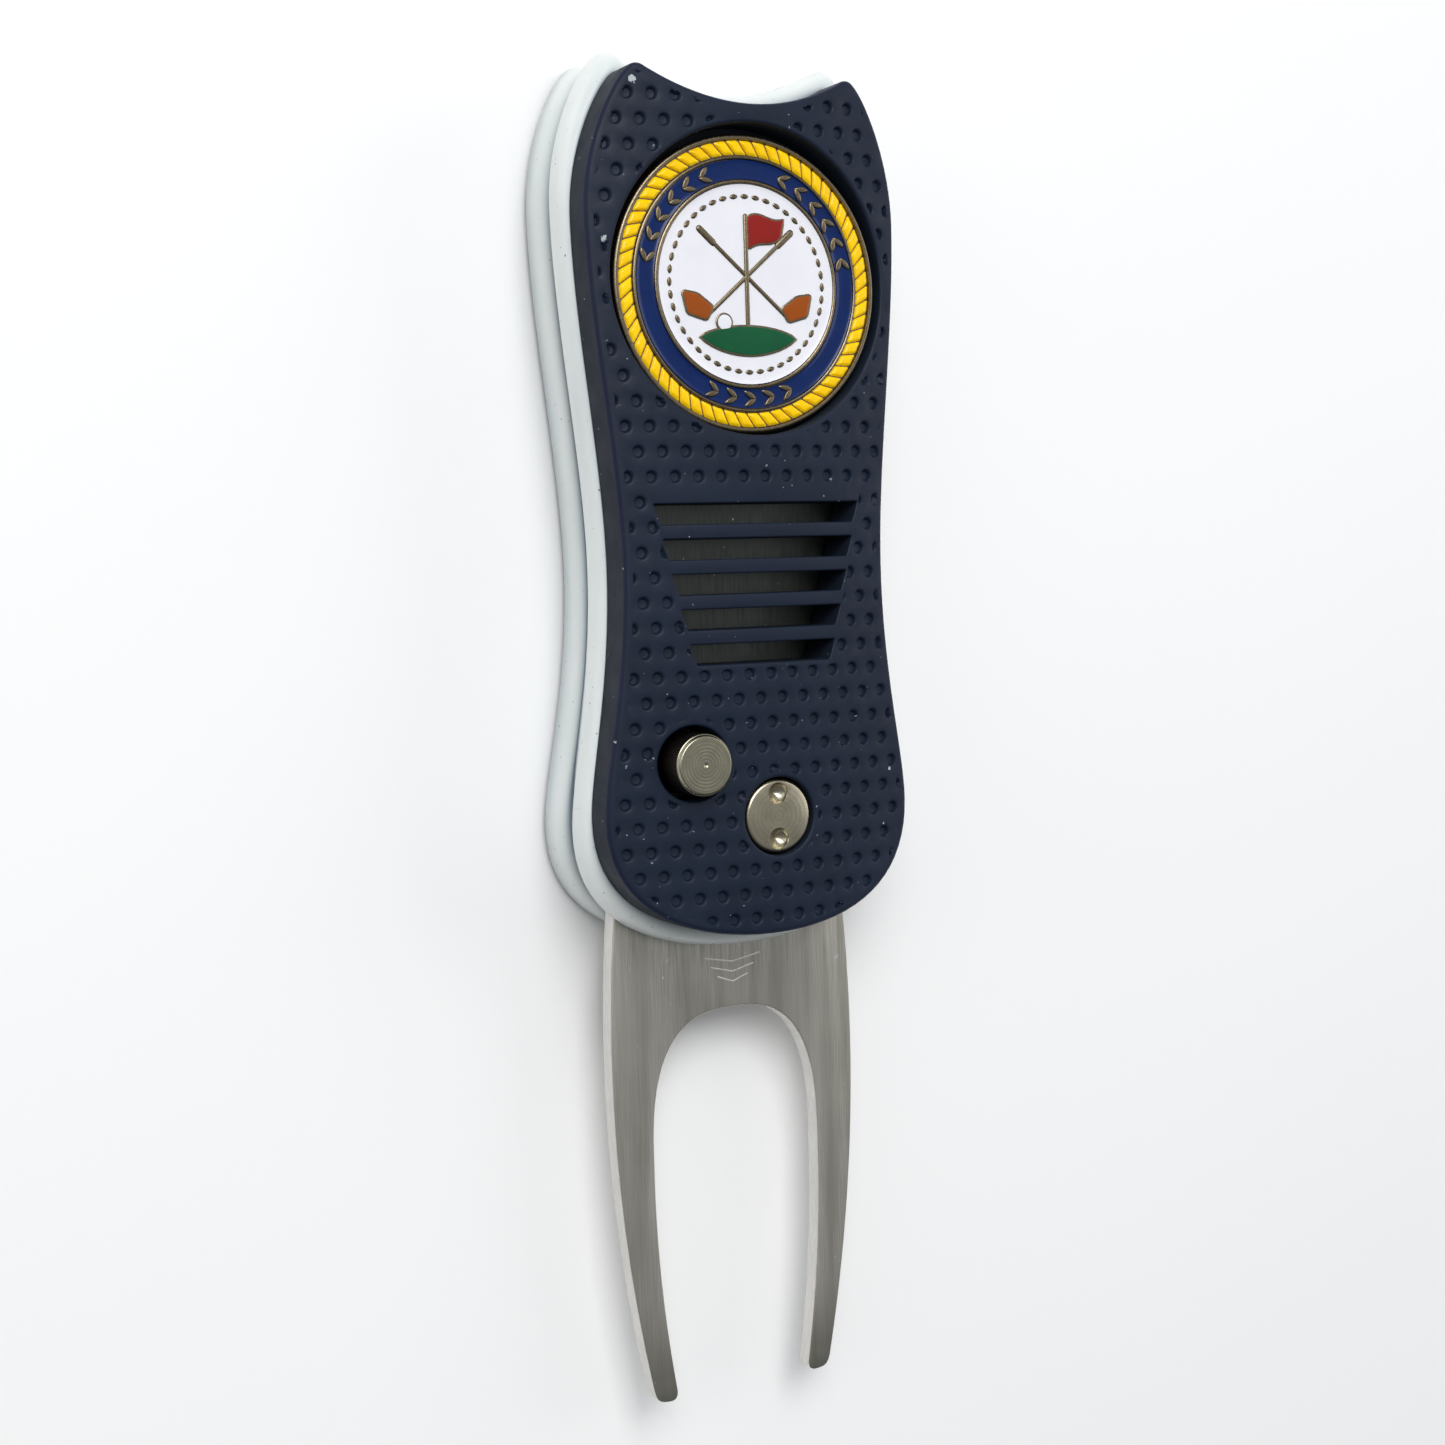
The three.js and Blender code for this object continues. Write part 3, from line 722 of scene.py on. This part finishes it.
def rear_panel():
    """The panel on the back, with the same dimples, made upside down and then turned over."""
    shell = Shell()
    thickness = heights("rear_grip_panel")[1]
    outline = (handle_outline(PANEL_SCALE) * (-1, 1))[::-1]

    def face_height(points):
        return np.full(len(points), thickness)

    crease = rim(shell, outline, face_height, 0.3, 1)
    foot = shell.add(outline, 0)
    shell.bridge(foot, crease[0], 1)
    shell.skin(crease)
    x, y = PIVOT["at"]
    nut = circle(-x, y, 3.4)
    rings = rim(shell, nut, face_height, 0.2)
    shell.skin(rings)
    bottom = shell.add(nut, 0)
    shell.bridge(rings[0], bottom, 1)
    keep_out = [inset(outline, DIMPLE_MARGIN), inset(nut, -0.5), circle(11.1, 4, 2.4)]
    dimpled_face(shell, crease[-1], [rings[-1]], keep_out, face_height, 0.25)
    shell.cap([foot, bottom], slot=1)
    x, y = REAR_SCREWS[2]
    panel = shell.piece("rear_grip", None, NAVY_FACE, NAVY_WALL)
    combine(panel, [cutter(-x, y, 1.9, -1, thickness + 1)])
    panel.data.transform(Matrix.Translation((0, 0, thickness * MM)) @ Matrix.Rotation(math.pi, 4, "Y"))
    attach(panel, "handle")
    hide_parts("rear_grip_panel")


# ---- plates


def stacked(name, levels, *materials):
    """A closed solid through a stack of outlines, each a (points, height)."""
    shell = Shell()
    rings = [shell.add(points, height) for points, height in levels]
    shell.skin(rings)
    shell.cap([rings[0]])
    shell.cap([rings[-1]])
    return shell.piece(name, None, *materials)


def plate_levels(outer, inner, low, high, foot, shoulder, last):
    """Levels of a plate: a small foot, a wall, and a wide round shoulder up to the inner outline.

    The foot holds an (inset, rise) for each of its levels, and last is the shoulder's last angle.
    """
    levels = [(inset(outer, inward), low + rise) for inward, rise in foot]
    for angle in np.linspace(math.pi / 2, last, 9):
        points = inner + (outer - inner) * math.sin(angle)
        levels.append((points, high - shoulder * (1 - math.cos(angle))))
    levels.append((inner + (outer - inner) * 0.02, high))
    return levels


def front_plate():
    low, high = heights("front_plate")
    foot = ((0.35, 0), (0.12, 0.1), (0, 0.38))
    levels = plate_levels(handle_outline(PLATE_SCALE), handle_outline(), low, high, foot, 1.75, 0.12)
    plate = stacked("front_shell", levels, WHITE)
    backing = node_box("louvre_backing_plate")
    top, bottom = backing[1][1] + 0.1, backing[0][1] - 0.1
    wide = backing[1][0] + 0.1
    corners = np.array([(-wide + 2.9, bottom), (wide - 2.9, bottom), (wide, top), (-wide, top)])
    holes = [
        stacked("cutter", [(corners, backing[0][2] - 0.05), (corners, high + 1)]),
        cutter(*BUTTON["at"], 2.65, low - 1, high + 1),
        cutter(*PIVOT["at"], 6.1, low - 1, 8.3),
        cutter(*PIVOT["at"], 2.65, low - 1, high + 1),
        cutter(*STOP_PIN, 1.05, low - 1, 8.05),
        *[cutter(x, y, 0.75, low - 1, high + 1, 16) for x, y in COVER_SCREWS],
        *[cutter(x, y, 1.45, low - 1, 7.05, 24) for x, y in COVER_SCREWS],
        *[cutter(x, y, 0.85, low - 1, 8.6, 16) for x, y in REAR_SCREWS],
    ]
    combine(plate, holes, smooth=PLATE_SMOOTH_ANGLE)
    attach(plate, "handle")
    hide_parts("front_plate")


def rear_plate():
    low, high = heights("rear_plate")
    outer = handle_outline(PLATE_SCALE, REAR_TRIM)
    inner = handle_outline((0.973, 1.02), REAR_TRIM)
    foot = ((0.45, 0), (0.15, 0.12), (0, 0.45))
    plate = stacked("rear_shell", plate_levels(outer, inner, low, high, foot, 2.25, 0.1), WHITE)
    panel = heights("rear_grip_panel")[1]
    grown = (PANEL_SCALE[0] + 0.006, PANEL_SCALE[1] + 0.003)
    pocket = stacked("cutter", [(handle_outline(grown), low - 1), (handle_outline(grown), panel + 0.05)])
    holes = [
        pocket,
        cutter(*BUTTON["at"], 3.2, 1.75, high + 1),
        cutter(*PIVOT["at"], 2.65, low - 1, high + 1),
        cutter(*PIVOT["at"], 4.65, 3.45, high + 1),
        cutter(*STOP_PIN, 1.05, 1.95, high + 1),
        *[cutter(x, y, 0.85, low - 1, high + 1, 16) for x, y in REAR_SCREWS],
        *[cutter(x, y, 1.5, low - 1, 1.35, 24) for x, y in REAR_SCREWS],
    ]
    combine(plate, holes, smooth=PLATE_SMOOTH_ANGLE)
    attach(plate, "handle")
    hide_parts("rear_plate")


# ---- fork


def fork_half(y):
    return FORK["half"] - FORK["bend"] * (y - FORK["y"]) ** 2


def gap_half(y):
    return GAP["half"] - GAP["bend"] * np.maximum(0, GAP["bend_y"] - y) ** 2


def fork_outline():
    """Fork with two tines, anticlockwise, with round tips."""
    tip, arch_y, shoulder = FORK["tip"], GAP["arch"], FORK["shoulder"]
    y_outer = np.linspace(shoulder - 1.5, tip + 1.1, 40)
    y_inner = np.linspace(tip + 0.8, arch_y, 24)
    left = np.c_[-fork_half(y_outer), y_outer]
    end_out, end_in = fork_half(tip), gap_half(tip)
    inner = np.c_[-gap_half(y_inner), y_inner]
    middle = (-end_in - 0.75, tip)
    left_side = np.concatenate([
        left[:-1],
        bezier([left[-1], (-end_out, tip + 0.25), (-end_out + 0.2, tip), middle], 8),
        bezier([middle, (-end_in - 0.1, tip + 0.02), inner[0]], 6),
        inner[:-1],
    ])
    angle = np.linspace(math.pi, 0, 49)
    power = 2 / GAP["power"]
    arch = np.c_[
        GAP["half"] * np.sign(np.cos(angle)) * np.abs(np.cos(angle)) ** power,
        arch_y + GAP["rise"] * np.abs(np.sin(angle)) ** power,
    ]
    right_side = left_side[::-1] * (-1, 1)
    side, end = fork_half(shoulder - 1.5), (FORK["half"] - 1.9, shoulder)
    corner = bezier([(side, shoulder - 1.5), (side, shoulder), end], 8)
    corner = np.concatenate([corner[1:], [end]])
    return np.concatenate([left_side, arch, right_side, corner, corner[::-1] * (-1, 1)])


def fork():
    low, high = heights("fork_blade")
    outline = fork_outline()
    edge = 0.13
    levels = [
        (inset(outline, edge * (1 - math.sin(angle))), edge * (1 - math.cos(angle)))
        for angle in np.radians((0, 30, 60, 90))
    ]
    shell = Shell()
    rings = [shell.add(points, low + rise) for points, rise in levels]
    rings += [shell.add(points, high - rise) for points, rise in levels[::-1]]
    shell.skin(rings[:4], 0)
    shell.bridge(rings[3], rings[4], 1)
    shell.skin(rings[4:], 0)
    shell.cap([rings[0]])
    shell.cap([rings[-1]])
    blade = shell.piece("fork_steel", None, FORK_FACE, FORK_EDGE)
    combine(blade, [cutter(*PIVOT["at"], 6.0, low, high, 64)], "UNION")
    closed = 2 * np.array(PIVOT["at"]) - BUTTON["at"]
    combine(blade, [
        cutter(*PIVOT["at"], 2.66, low - 1, high + 1, 48),
        cutter(*BUTTON["at"], 3.5, low - 1, high + 1, 48),
        cutter(*closed, 3.2, low - 1, high + 1, 48),
        cutter(*(closed + 2), 3.2, low - 1, high + 1, 48),
    ])
    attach(blade, "fork")
    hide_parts("fork_blade")


def fork_mark():
    """Three plain chevrons, lightly etched in the fork."""
    top = heights("fork_blade")[1]
    shell = Shell()
    for i, half in enumerate((2.6, 2.0, 1.4)):
        y = -18.3 - 0.85 * i
        for side in (-1, 1):
            stroke(shell, (0.05 * side, y - 0.5), (half * side, y), 0.22, top - 0.02, top + 0.012)
    mark = shell.piece("fork_mark", "fork", ETCHED)


# ---- button, pivot


def lock_button():
    x, y = BUTTON["at"]
    foot, top = heights("lock_button")
    radius = BUTTON["radius"]
    profile = [(0, foot), (1.0, foot), (1.1, foot + 0.1), (1.1, 4.3), (2.8, 4.3), (2.9, 4.4), (2.9, 5.8),
               (2.8, 5.9), (radius, 5.9), (radius, top - 0.42), (radius - 0.06, top - 0.34),
               (radius - 0.12, top - 0.31), (radius - 0.2, top - 0.1), (radius - 0.27, top - 0.02),
               (radius - 0.33, top)]
    for r in np.linspace(radius - 0.4, 0.24, 40):
        profile.append((r, top - 0.005 + 0.005 * math.cos(2 * math.pi * r / 0.29)))
    profile += [(0.17, top - 0.01), (0.1, top - 0.07), (0, top - 0.09)]
    # Below its top edge the button takes the dark copy of its metal, painted shade for the hole.
    slots = [1 if height < top - 0.4 else 0 for _, height in profile]
    button = lathe("button_cap", "button", x, y, profile, BUTTON_TOP, BUTTON_SIDE_SHADE, steps=72, slots=slots)
    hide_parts("lock_button")


def pivot_screw():
    x, y = PIVOT["at"]
    foot, top, radius = round_node("pivot_screw")
    head = top - 1.6
    profile = [(0, foot), (1.7, foot), (2, foot + 0.3), (2, head), (radius - 0.1, head),
               (radius, head + 0.1), (radius, top - 0.28), (radius - 0.08, top - 0.12),
               (radius - 0.2, top - 0.03), (radius - 0.3, top), (1, top), (0, top)]
    screw = lathe("pivot_head", None, x, y, profile, PIVOT_TOP, steps=96)
    drill = [(0, top - 0.72), (0.12, top - 0.7), (0.72, top - 0.3), (0.8, top - 0.2), (0.85, top - 0.05),
             (0.93, top + 0.02), (0.93, top + 1), (0, top + 1)]
    away = PIVOT["holes"]
    combine(screw, [lathe("cutter", None, x, y + out, drill, steps=40) for out in (away, -away)])
    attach(screw, "handle")
    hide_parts("pivot_screw")


def button_coil():
    """The spring under the button, as one fixed coil."""
    x, y = BUTTON["at"]
    low, high, radius = round_node("button_spring")
    wire, turns, steps = 0.2, 3, 96
    round_wire = np.linspace(0, 2 * math.pi, 10, endpoint=False)
    out = radius - wire + wire * np.cos(round_wire)
    shell = Shell()
    rings = []
    for i in range(steps + 1):
        angle = 2 * math.pi * turns * i / steps
        up = low + wire + (high - low - 2 * wire) * i / steps + wire * np.sin(round_wire)
        rings.append(shell.add(np.c_[x + out * math.cos(angle), y + out * math.sin(angle)], up))
    shell.skin(rings)
    shell.face(rings[0][::-1])
    shell.face(rings[-1])
    coil = shell.piece("button_coil", "handle", SPRING)
    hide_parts("button_spring")
    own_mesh(coil)


def pivot_barrel():
    """The barrel nut, with two spanner holes in its head like the screw's."""
    x, y = PIVOT["at"]
    foot, top, radius = round_node("pivot_nut")
    nut = lathe("pivot_barrel", None, x, y, [
        (0, foot), (radius - 0.25, foot), (radius - 0.08, foot + 0.08), (radius, foot + 0.25),
        (radius, foot + 0.87), (2.6, foot + 0.87), (2.6, top), (2.05, top), (2.05, 2.2), (0, 2.2)],
        NUT_FACE, steps=96)
    away = PIVOT["holes"]
    combine(nut, [cutter(x, y + out, 0.85, foot - 1, foot + 0.6) for out in (away, -away)])
    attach(nut, "handle")
    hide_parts("pivot_nut")


def rear_screw(index, x, y):
    """A screw with a crossed recess in its head, which faces the back."""
    name = f"rear_screw_{index}"
    foot, top, radius = round_node(name)
    screw = lathe(f"rear_bolt_{index}", None, x, y, [
        (0, foot), (radius - 0.22, foot), (radius - 0.05, foot + 0.08), (radius, foot + 0.22),
        (radius, foot + 0.85), (0.7, foot + 0.85), (0.7, top - 0.2), (0.5, top), (0, top)],
        STEEL, steps=48)
    bars = []
    for turn in (0.5, 0.5 + math.pi / 2):
        bar = turned([(0.85, -0.17), (-0.85, -0.17), (-0.85, 0.17), (0.85, 0.17)], turn) + (x, y)
        bars.append(stacked("cutter", [(bar, foot - 1), (bar, foot + 0.5)]))
    combine(screw, bars)
    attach(screw, "handle")
    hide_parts(name)


# ---- ball marker


def marker_base():
    low, top = heights("ball_marker")
    edge = MARKER["radius"]
    floor = top - 0.26
    ridges = [(11.93, top - 0.08), (11.85, top - 0.02), (11.72, top), (11.6, top - 0.03), (11.52, floor),
              (10.32, floor), (10.27, top - 0.08), (10.2, top - 0.03), (10.12, top - 0.03),
              (10.05, top - 0.08), (10.0, floor), (8.42, floor), (8.36, top - 0.07), (8.28, top - 0.02),
              (8.18, top - 0.02), (8.1, top - 0.07), (8.04, floor), (0, floor)]
    profile = [(0, low), (edge - 0.3, low), (edge - 0.1, low + 0.06), (edge, low + 0.2),
               (edge, top - 0.2), *ridges]
    base = lathe("marker_base", "marker", *MARKER["at"], profile, ANTIQUE, steps=160)
    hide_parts("ball_marker")


def shrunk(points, distance):
    """The outline drawn towards its middle, which never crosses itself as an inset may."""
    middle = points.mean(0)
    return middle + (points - middle) * (1 - distance / np.linalg.norm(points - middle, axis=1).mean())


def domed(shell, points, low, edge, bulge, width):
    """A low solid on a convex outline, with its top rising from its edge towards the middle."""
    rings = [shell.add(points, low), shell.add(points, edge)]
    for share in (0.35, 0.7, 1.0):
        height = edge + bulge * math.sin(math.pi / 2 * share)
        rings.append(shell.add(shrunk(points, width * share), height))
    shell.skin(rings)
    for ring, height in ((rings[0][::-1], low), (rings[-1], edge + bulge * 1.02)):
        middle, = shell.add([points.mean(0)], height)
        for a, b in zip(ring, [*ring[1:], ring[0]]):
            shell.face((a, b, middle))


def leaf(x, y, heading, length, width, steps=20):
    """A pointed oval, turned to a heading."""
    t = np.linspace(0, 2 * math.pi, steps, endpoint=False)
    along, across = length / 2 * np.cos(t), width / 2 * np.sin(t) * np.abs(np.sin(t)) ** 0.35
    return turned(np.c_[along, across], heading) + (x, y)


def arc_patch(inner, outer, start, end):
    """Part of a ring, slanted, with rounded corners."""
    slant = 0.035
    places = [(outer, start + slant), (outer, end + slant), (inner, end - slant), (inner, start - slant)]
    corners = [(r * math.cos(a), r * math.sin(a)) for r, a in places]
    points = subdivided(rounded(corners, 0.24, 4), 0.3)
    radius = np.hypot(*points.T)
    return points * (np.clip(radius, inner + 0.01, outer) / radius)[:, None]


def marker_enamel():
    x, y = MARKER["at"]
    top = heights("ball_marker")[1]
    floor = top - 0.28
    border = Shell()
    count = 60
    for i in range(count):
        start = 2 * math.pi * i / count
        width = 2 * math.pi / count
        patch = arc_patch(10.35, 11.5, start + 0.05 * width, start + 0.95 * width) + (x, y)
        domed(border, patch, floor, top - 0.21, 0.18, 0.34)
    border.piece("marker_border", "marker", YELLOW)
    ring = [(8.44, floor), (9.96, floor), (9.96, top - 0.09), (9.85, top - 0.14), (9.6, top - 0.17),
            (8.8, top - 0.17), (8.55, top - 0.14), (8.44, top - 0.09)]
    shell = Shell()
    rings = [shell.add(circle(x, y, radius, 128), height) for radius, height in ring]
    shell.skin([*rings, rings[0]])
    shell.piece("marker_ring", "marker", BLUE)
    profile = [(0, floor), (8.02, floor), (8.02, top - 0.06), (7.9, top - 0.11), (7.6, top - 0.14),
               (6.5, top - 0.15), (4, top - 0.15), (0, top - 0.15)]
    lathe("marker_field", "marker", x, y, profile, FIELD, steps=128)


def marker_wreath():
    """Raised leaves in the blue ring, and a ring of beads round the white field."""
    top = heights("ball_marker")[1]
    leaves = Shell()
    for middle, count in ((2.45, 6), (0.69, 6), (-1.571, 5)):
        for i in range(count):
            angle = middle + 0.19 * (i - (count - 1) / 2)
            for side in (-1, 1):
                place = polar(MARKER["at"], 9.2 + 0.3 * side, angle)
                points = leaf(*place, angle + math.pi / 2 + 0.55 * side, 1.25, 0.5)
                domed(leaves, points, top - 0.24, top - 0.1, 0.09, 0.15)
    leaves.piece("marker_leaves", "marker", ANTIQUE)
    beads = Shell()
    count = 44
    for i in range(count):
        angle = 2 * math.pi * i / count
        bead = leaf(*polar(MARKER["at"], 7.05, angle), angle + math.pi / 2, 0.72, 0.4, 14)
        domed(beads, bead, top - 0.2, top - 0.1, 0.06, 0.12)
    beads.piece("marker_beads", "marker", ANTIQUE)


def stroke(shell, start, end, width, low, high):
    """A straight raised line with round ends and a rounded top."""
    start, end = np.array(start, float), np.array(end, float)
    heading = math.atan2(*(end - start)[::-1])

    def outline(radius):
        turn = np.linspace(-math.pi / 2, math.pi / 2, 7)
        tip = radius * np.c_[np.cos(heading + turn), np.sin(heading + turn)]
        return np.concatenate([end + tip, start - tip])

    rings = [shell.add(outline(width / 2), low)]
    for angle in np.radians((0, 30, 60)):
        height = high - width * 0.25 * (1 - math.sin(angle))
        rings.append(shell.add(outline(width / 2 * math.cos(angle)), height))
    shell.skin(rings)
    shell.cap([rings[0]])
    shell.cap([rings[-1]])


def marker_emblem():
    """A flag in a hole on a mound, a ball, and two crossed clubs."""
    at = np.array(MARKER["at"])
    top = heights("ball_marker")[1]
    base, line = top - 0.2, top - 0.02

    def moved(points):
        return np.array(points, float) + at

    lines = Shell()
    for side in (-1, 1):
        stroke(lines, *moved([(-4.2 * side, 4.3), (3.5 * side, -2.4)]), 0.34, base, line)
        stroke(lines, *moved([(-4.2 * side, 4.3), (-3.0 * side, 3.25)]), 0.6, base, line + 0.01)
    stroke(lines, *moved([(0, -4.1), (0, 5.5)]), 0.38, base, line + 0.02)
    lines.piece("marker_lines", "marker", ANTIQUE)

    def inlaid(name, outlines, material, width=0.2):
        edge, inner = Shell(), Shell()
        for points in outlines:
            points = moved(points)
            domed(edge, inset(points, -0.16), base, line - 0.03, 0.03, 0.1)
            domed(inner, points, base + 0.05, line + 0.005, 0.03, width)
        edge.piece(name + "_edge", "marker", ANTIQUE)
        inner.piece(name, "marker", material)

    flag = np.concatenate([
        bezier([(0.2, 5.4), (1.4, 6.1), (2.2, 4.8), (3.5, 5.3)], 10),
        [(3.5, 5.3)],
        bezier([(3.2, 3.9), (2.2, 3.0), (1.4, 3.8), (0.2, 2.9)], 10),
        [(0.2, 2.9)],
    ])[::-1]
    inlaid("marker_flag", [subdivided(flag, 0.4)], RED)
    mound = np.concatenate([
        bezier([(-4.4, -4.3), (-2.0, -6.1), (2.0, -6.1), (4.4, -4.3)], 16),
        bezier([(4.4, -4.3), (2.4, -3.1), (-2.4, -3.1), (-4.4, -4.3)], 16),
    ])
    inlaid("marker_mound", [mound], GREEN)
    heads = []
    for side in (-1, 1):
        head = np.array([(3.2, -1.9), (3.8, -2.9), (5.5, -2.4), (5.9, -0.7), (4.6, -0.9)])
        head = rounded(head if side > 0 else (head * (-1, 1))[::-1], 0.25, 4)
        heads.append(subdivided(head, 0.3))
    inlaid("marker_heads", heads, BROWN)
    inlaid("marker_ball", [circle(-2.2, -3.1, 0.62, 28)], FIELD, 0.3)


# ---- carried-over nodes


def carry_over():
    finishes = {
        "louvre_backing_plate": BACKING,
        "marker_magnet": MAGNET,
        "pivot_bush": BRONZE,
        "rear_washer": BRONZE,
        "torsion_spring": SPRING,
        "stop_pin": NICKEL,
        "spine_spacer": WHITE,
        **{f"cover_screw_{i}": STEEL for i in (1, 2, 3, 4)},
    }
    for name, material in finishes.items():
        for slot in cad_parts[name].material_slots:
            slot.material = material


# ---- camera, light and floor


def camera():
    data = bpy.data.cameras.new("camera")
    data.sensor_width = 36
    data.lens = 54.84
    data.clip_start, data.clip_end = 0.005, 20
    obj = bpy.data.objects.new("camera", data)
    bpy.context.scene.collection.objects.link(obj)
    back = -Vector((0.46716, -0.06784, -0.88157)).normalized()
    up = Vector((0.05889, 0.99723, -0.04554)).normalized()
    right = up.cross(back).normalized()
    turn = Matrix((right, back.cross(right), back)).transposed().to_4x4()
    obj.matrix_world = Matrix.Translation(Vector((-87.222, 14.258, 170.014)) * MM) @ turn
    bpy.context.scene.camera = obj


def lamp(name, place, target, size, power):
    data = bpy.data.lights.new(name, "AREA")
    data.shape = "RECTANGLE"
    data.size, data.size_y = size
    data.energy = power
    obj = bpy.data.objects.new(name, data)
    obj.location = place
    obj.rotation_euler = (Vector(target) - Vector(place)).to_track_quat("-Z", "Y").to_euler()
    bpy.context.scene.collection.objects.link(obj)


def sky():
    """Soft light from all round, brighter from above and from the side of the ears."""
    world = bpy.data.worlds.new("studio")
    world.use_nodes = True
    tree = world.node_tree
    place = tree.nodes.new("ShaderNodeTexCoord")
    parts = tree.nodes.new("ShaderNodeSeparateXYZ")
    tree.links.new(place.outputs["Generated"], parts.inputs[0])
    strength = tree.nodes.new("ShaderNodeMath")
    strength.operation = "MULTIPLY"
    tree.links.new(map_range(tree, parts.outputs["Z"], -0.1, 0.9, 0.25, 0.5), strength.inputs[0])
    tree.links.new(map_range(tree, parts.outputs["Y"], -0.6, 0.5, 0.45, 1.25), strength.inputs[1])
    background = tree.nodes["Background"]
    background.inputs["Color"].default_value = (0.96, 0.98, 1.0, 1)
    tree.links.new(strength.outputs[0], background.inputs["Strength"])
    bpy.context.scene.world = world


def pale_floor():
    size = 3.0
    mesh = bpy.data.meshes.new("floor")
    corners = [(-size, -size, 0), (size, -size, 0), (size, size, 0), (-size, size, 0)]
    mesh.from_pydata(corners, [], [(0, 1, 2, 3)])
    floor = bpy.data.objects.new("floor", mesh)
    bpy.context.scene.collection.objects.link(floor)
    f = Finish("floor", (0.93, 0.93, 0.93), 0.9)
    f.tint(f.ranged(f.noise(60, 2), 0.3, 0.7, 0, 0.2), (0.9, 0.9, 0.9))
    mesh.materials.append(f.material)


def studio():
    """The sky, three soft lamps and the floor, in metres."""
    bpy.context.scene.view_settings.view_transform = "Standard"
    bpy.context.scene.view_settings.look = "None"
    sky()
    lamp("key", (-0.12, 0.3, 0.5), (0, 0.01, 0), (0.4, 0.3), 2.5)
    lamp("left", (-0.5, 0.15, 0.25), (0, 0.01, 0.005), (0.3, 0.35), 0.3)
    lamp("right", (0.5, 0.1, 0.3), (0, 0.01, 0), (0.35, 0.35), 0.6)
    pale_floor()


camera()
front_cover()
rear_panel()
front_plate()
rear_plate()
fork()
fork_mark()
lock_button()
pivot_screw()
button_coil()
pivot_barrel()
for number, place in enumerate(REAR_SCREWS, 1):
    rear_screw(number, *place)
marker_base()
marker_enamel()
marker_wreath()
marker_emblem()
carry_over()
studio()
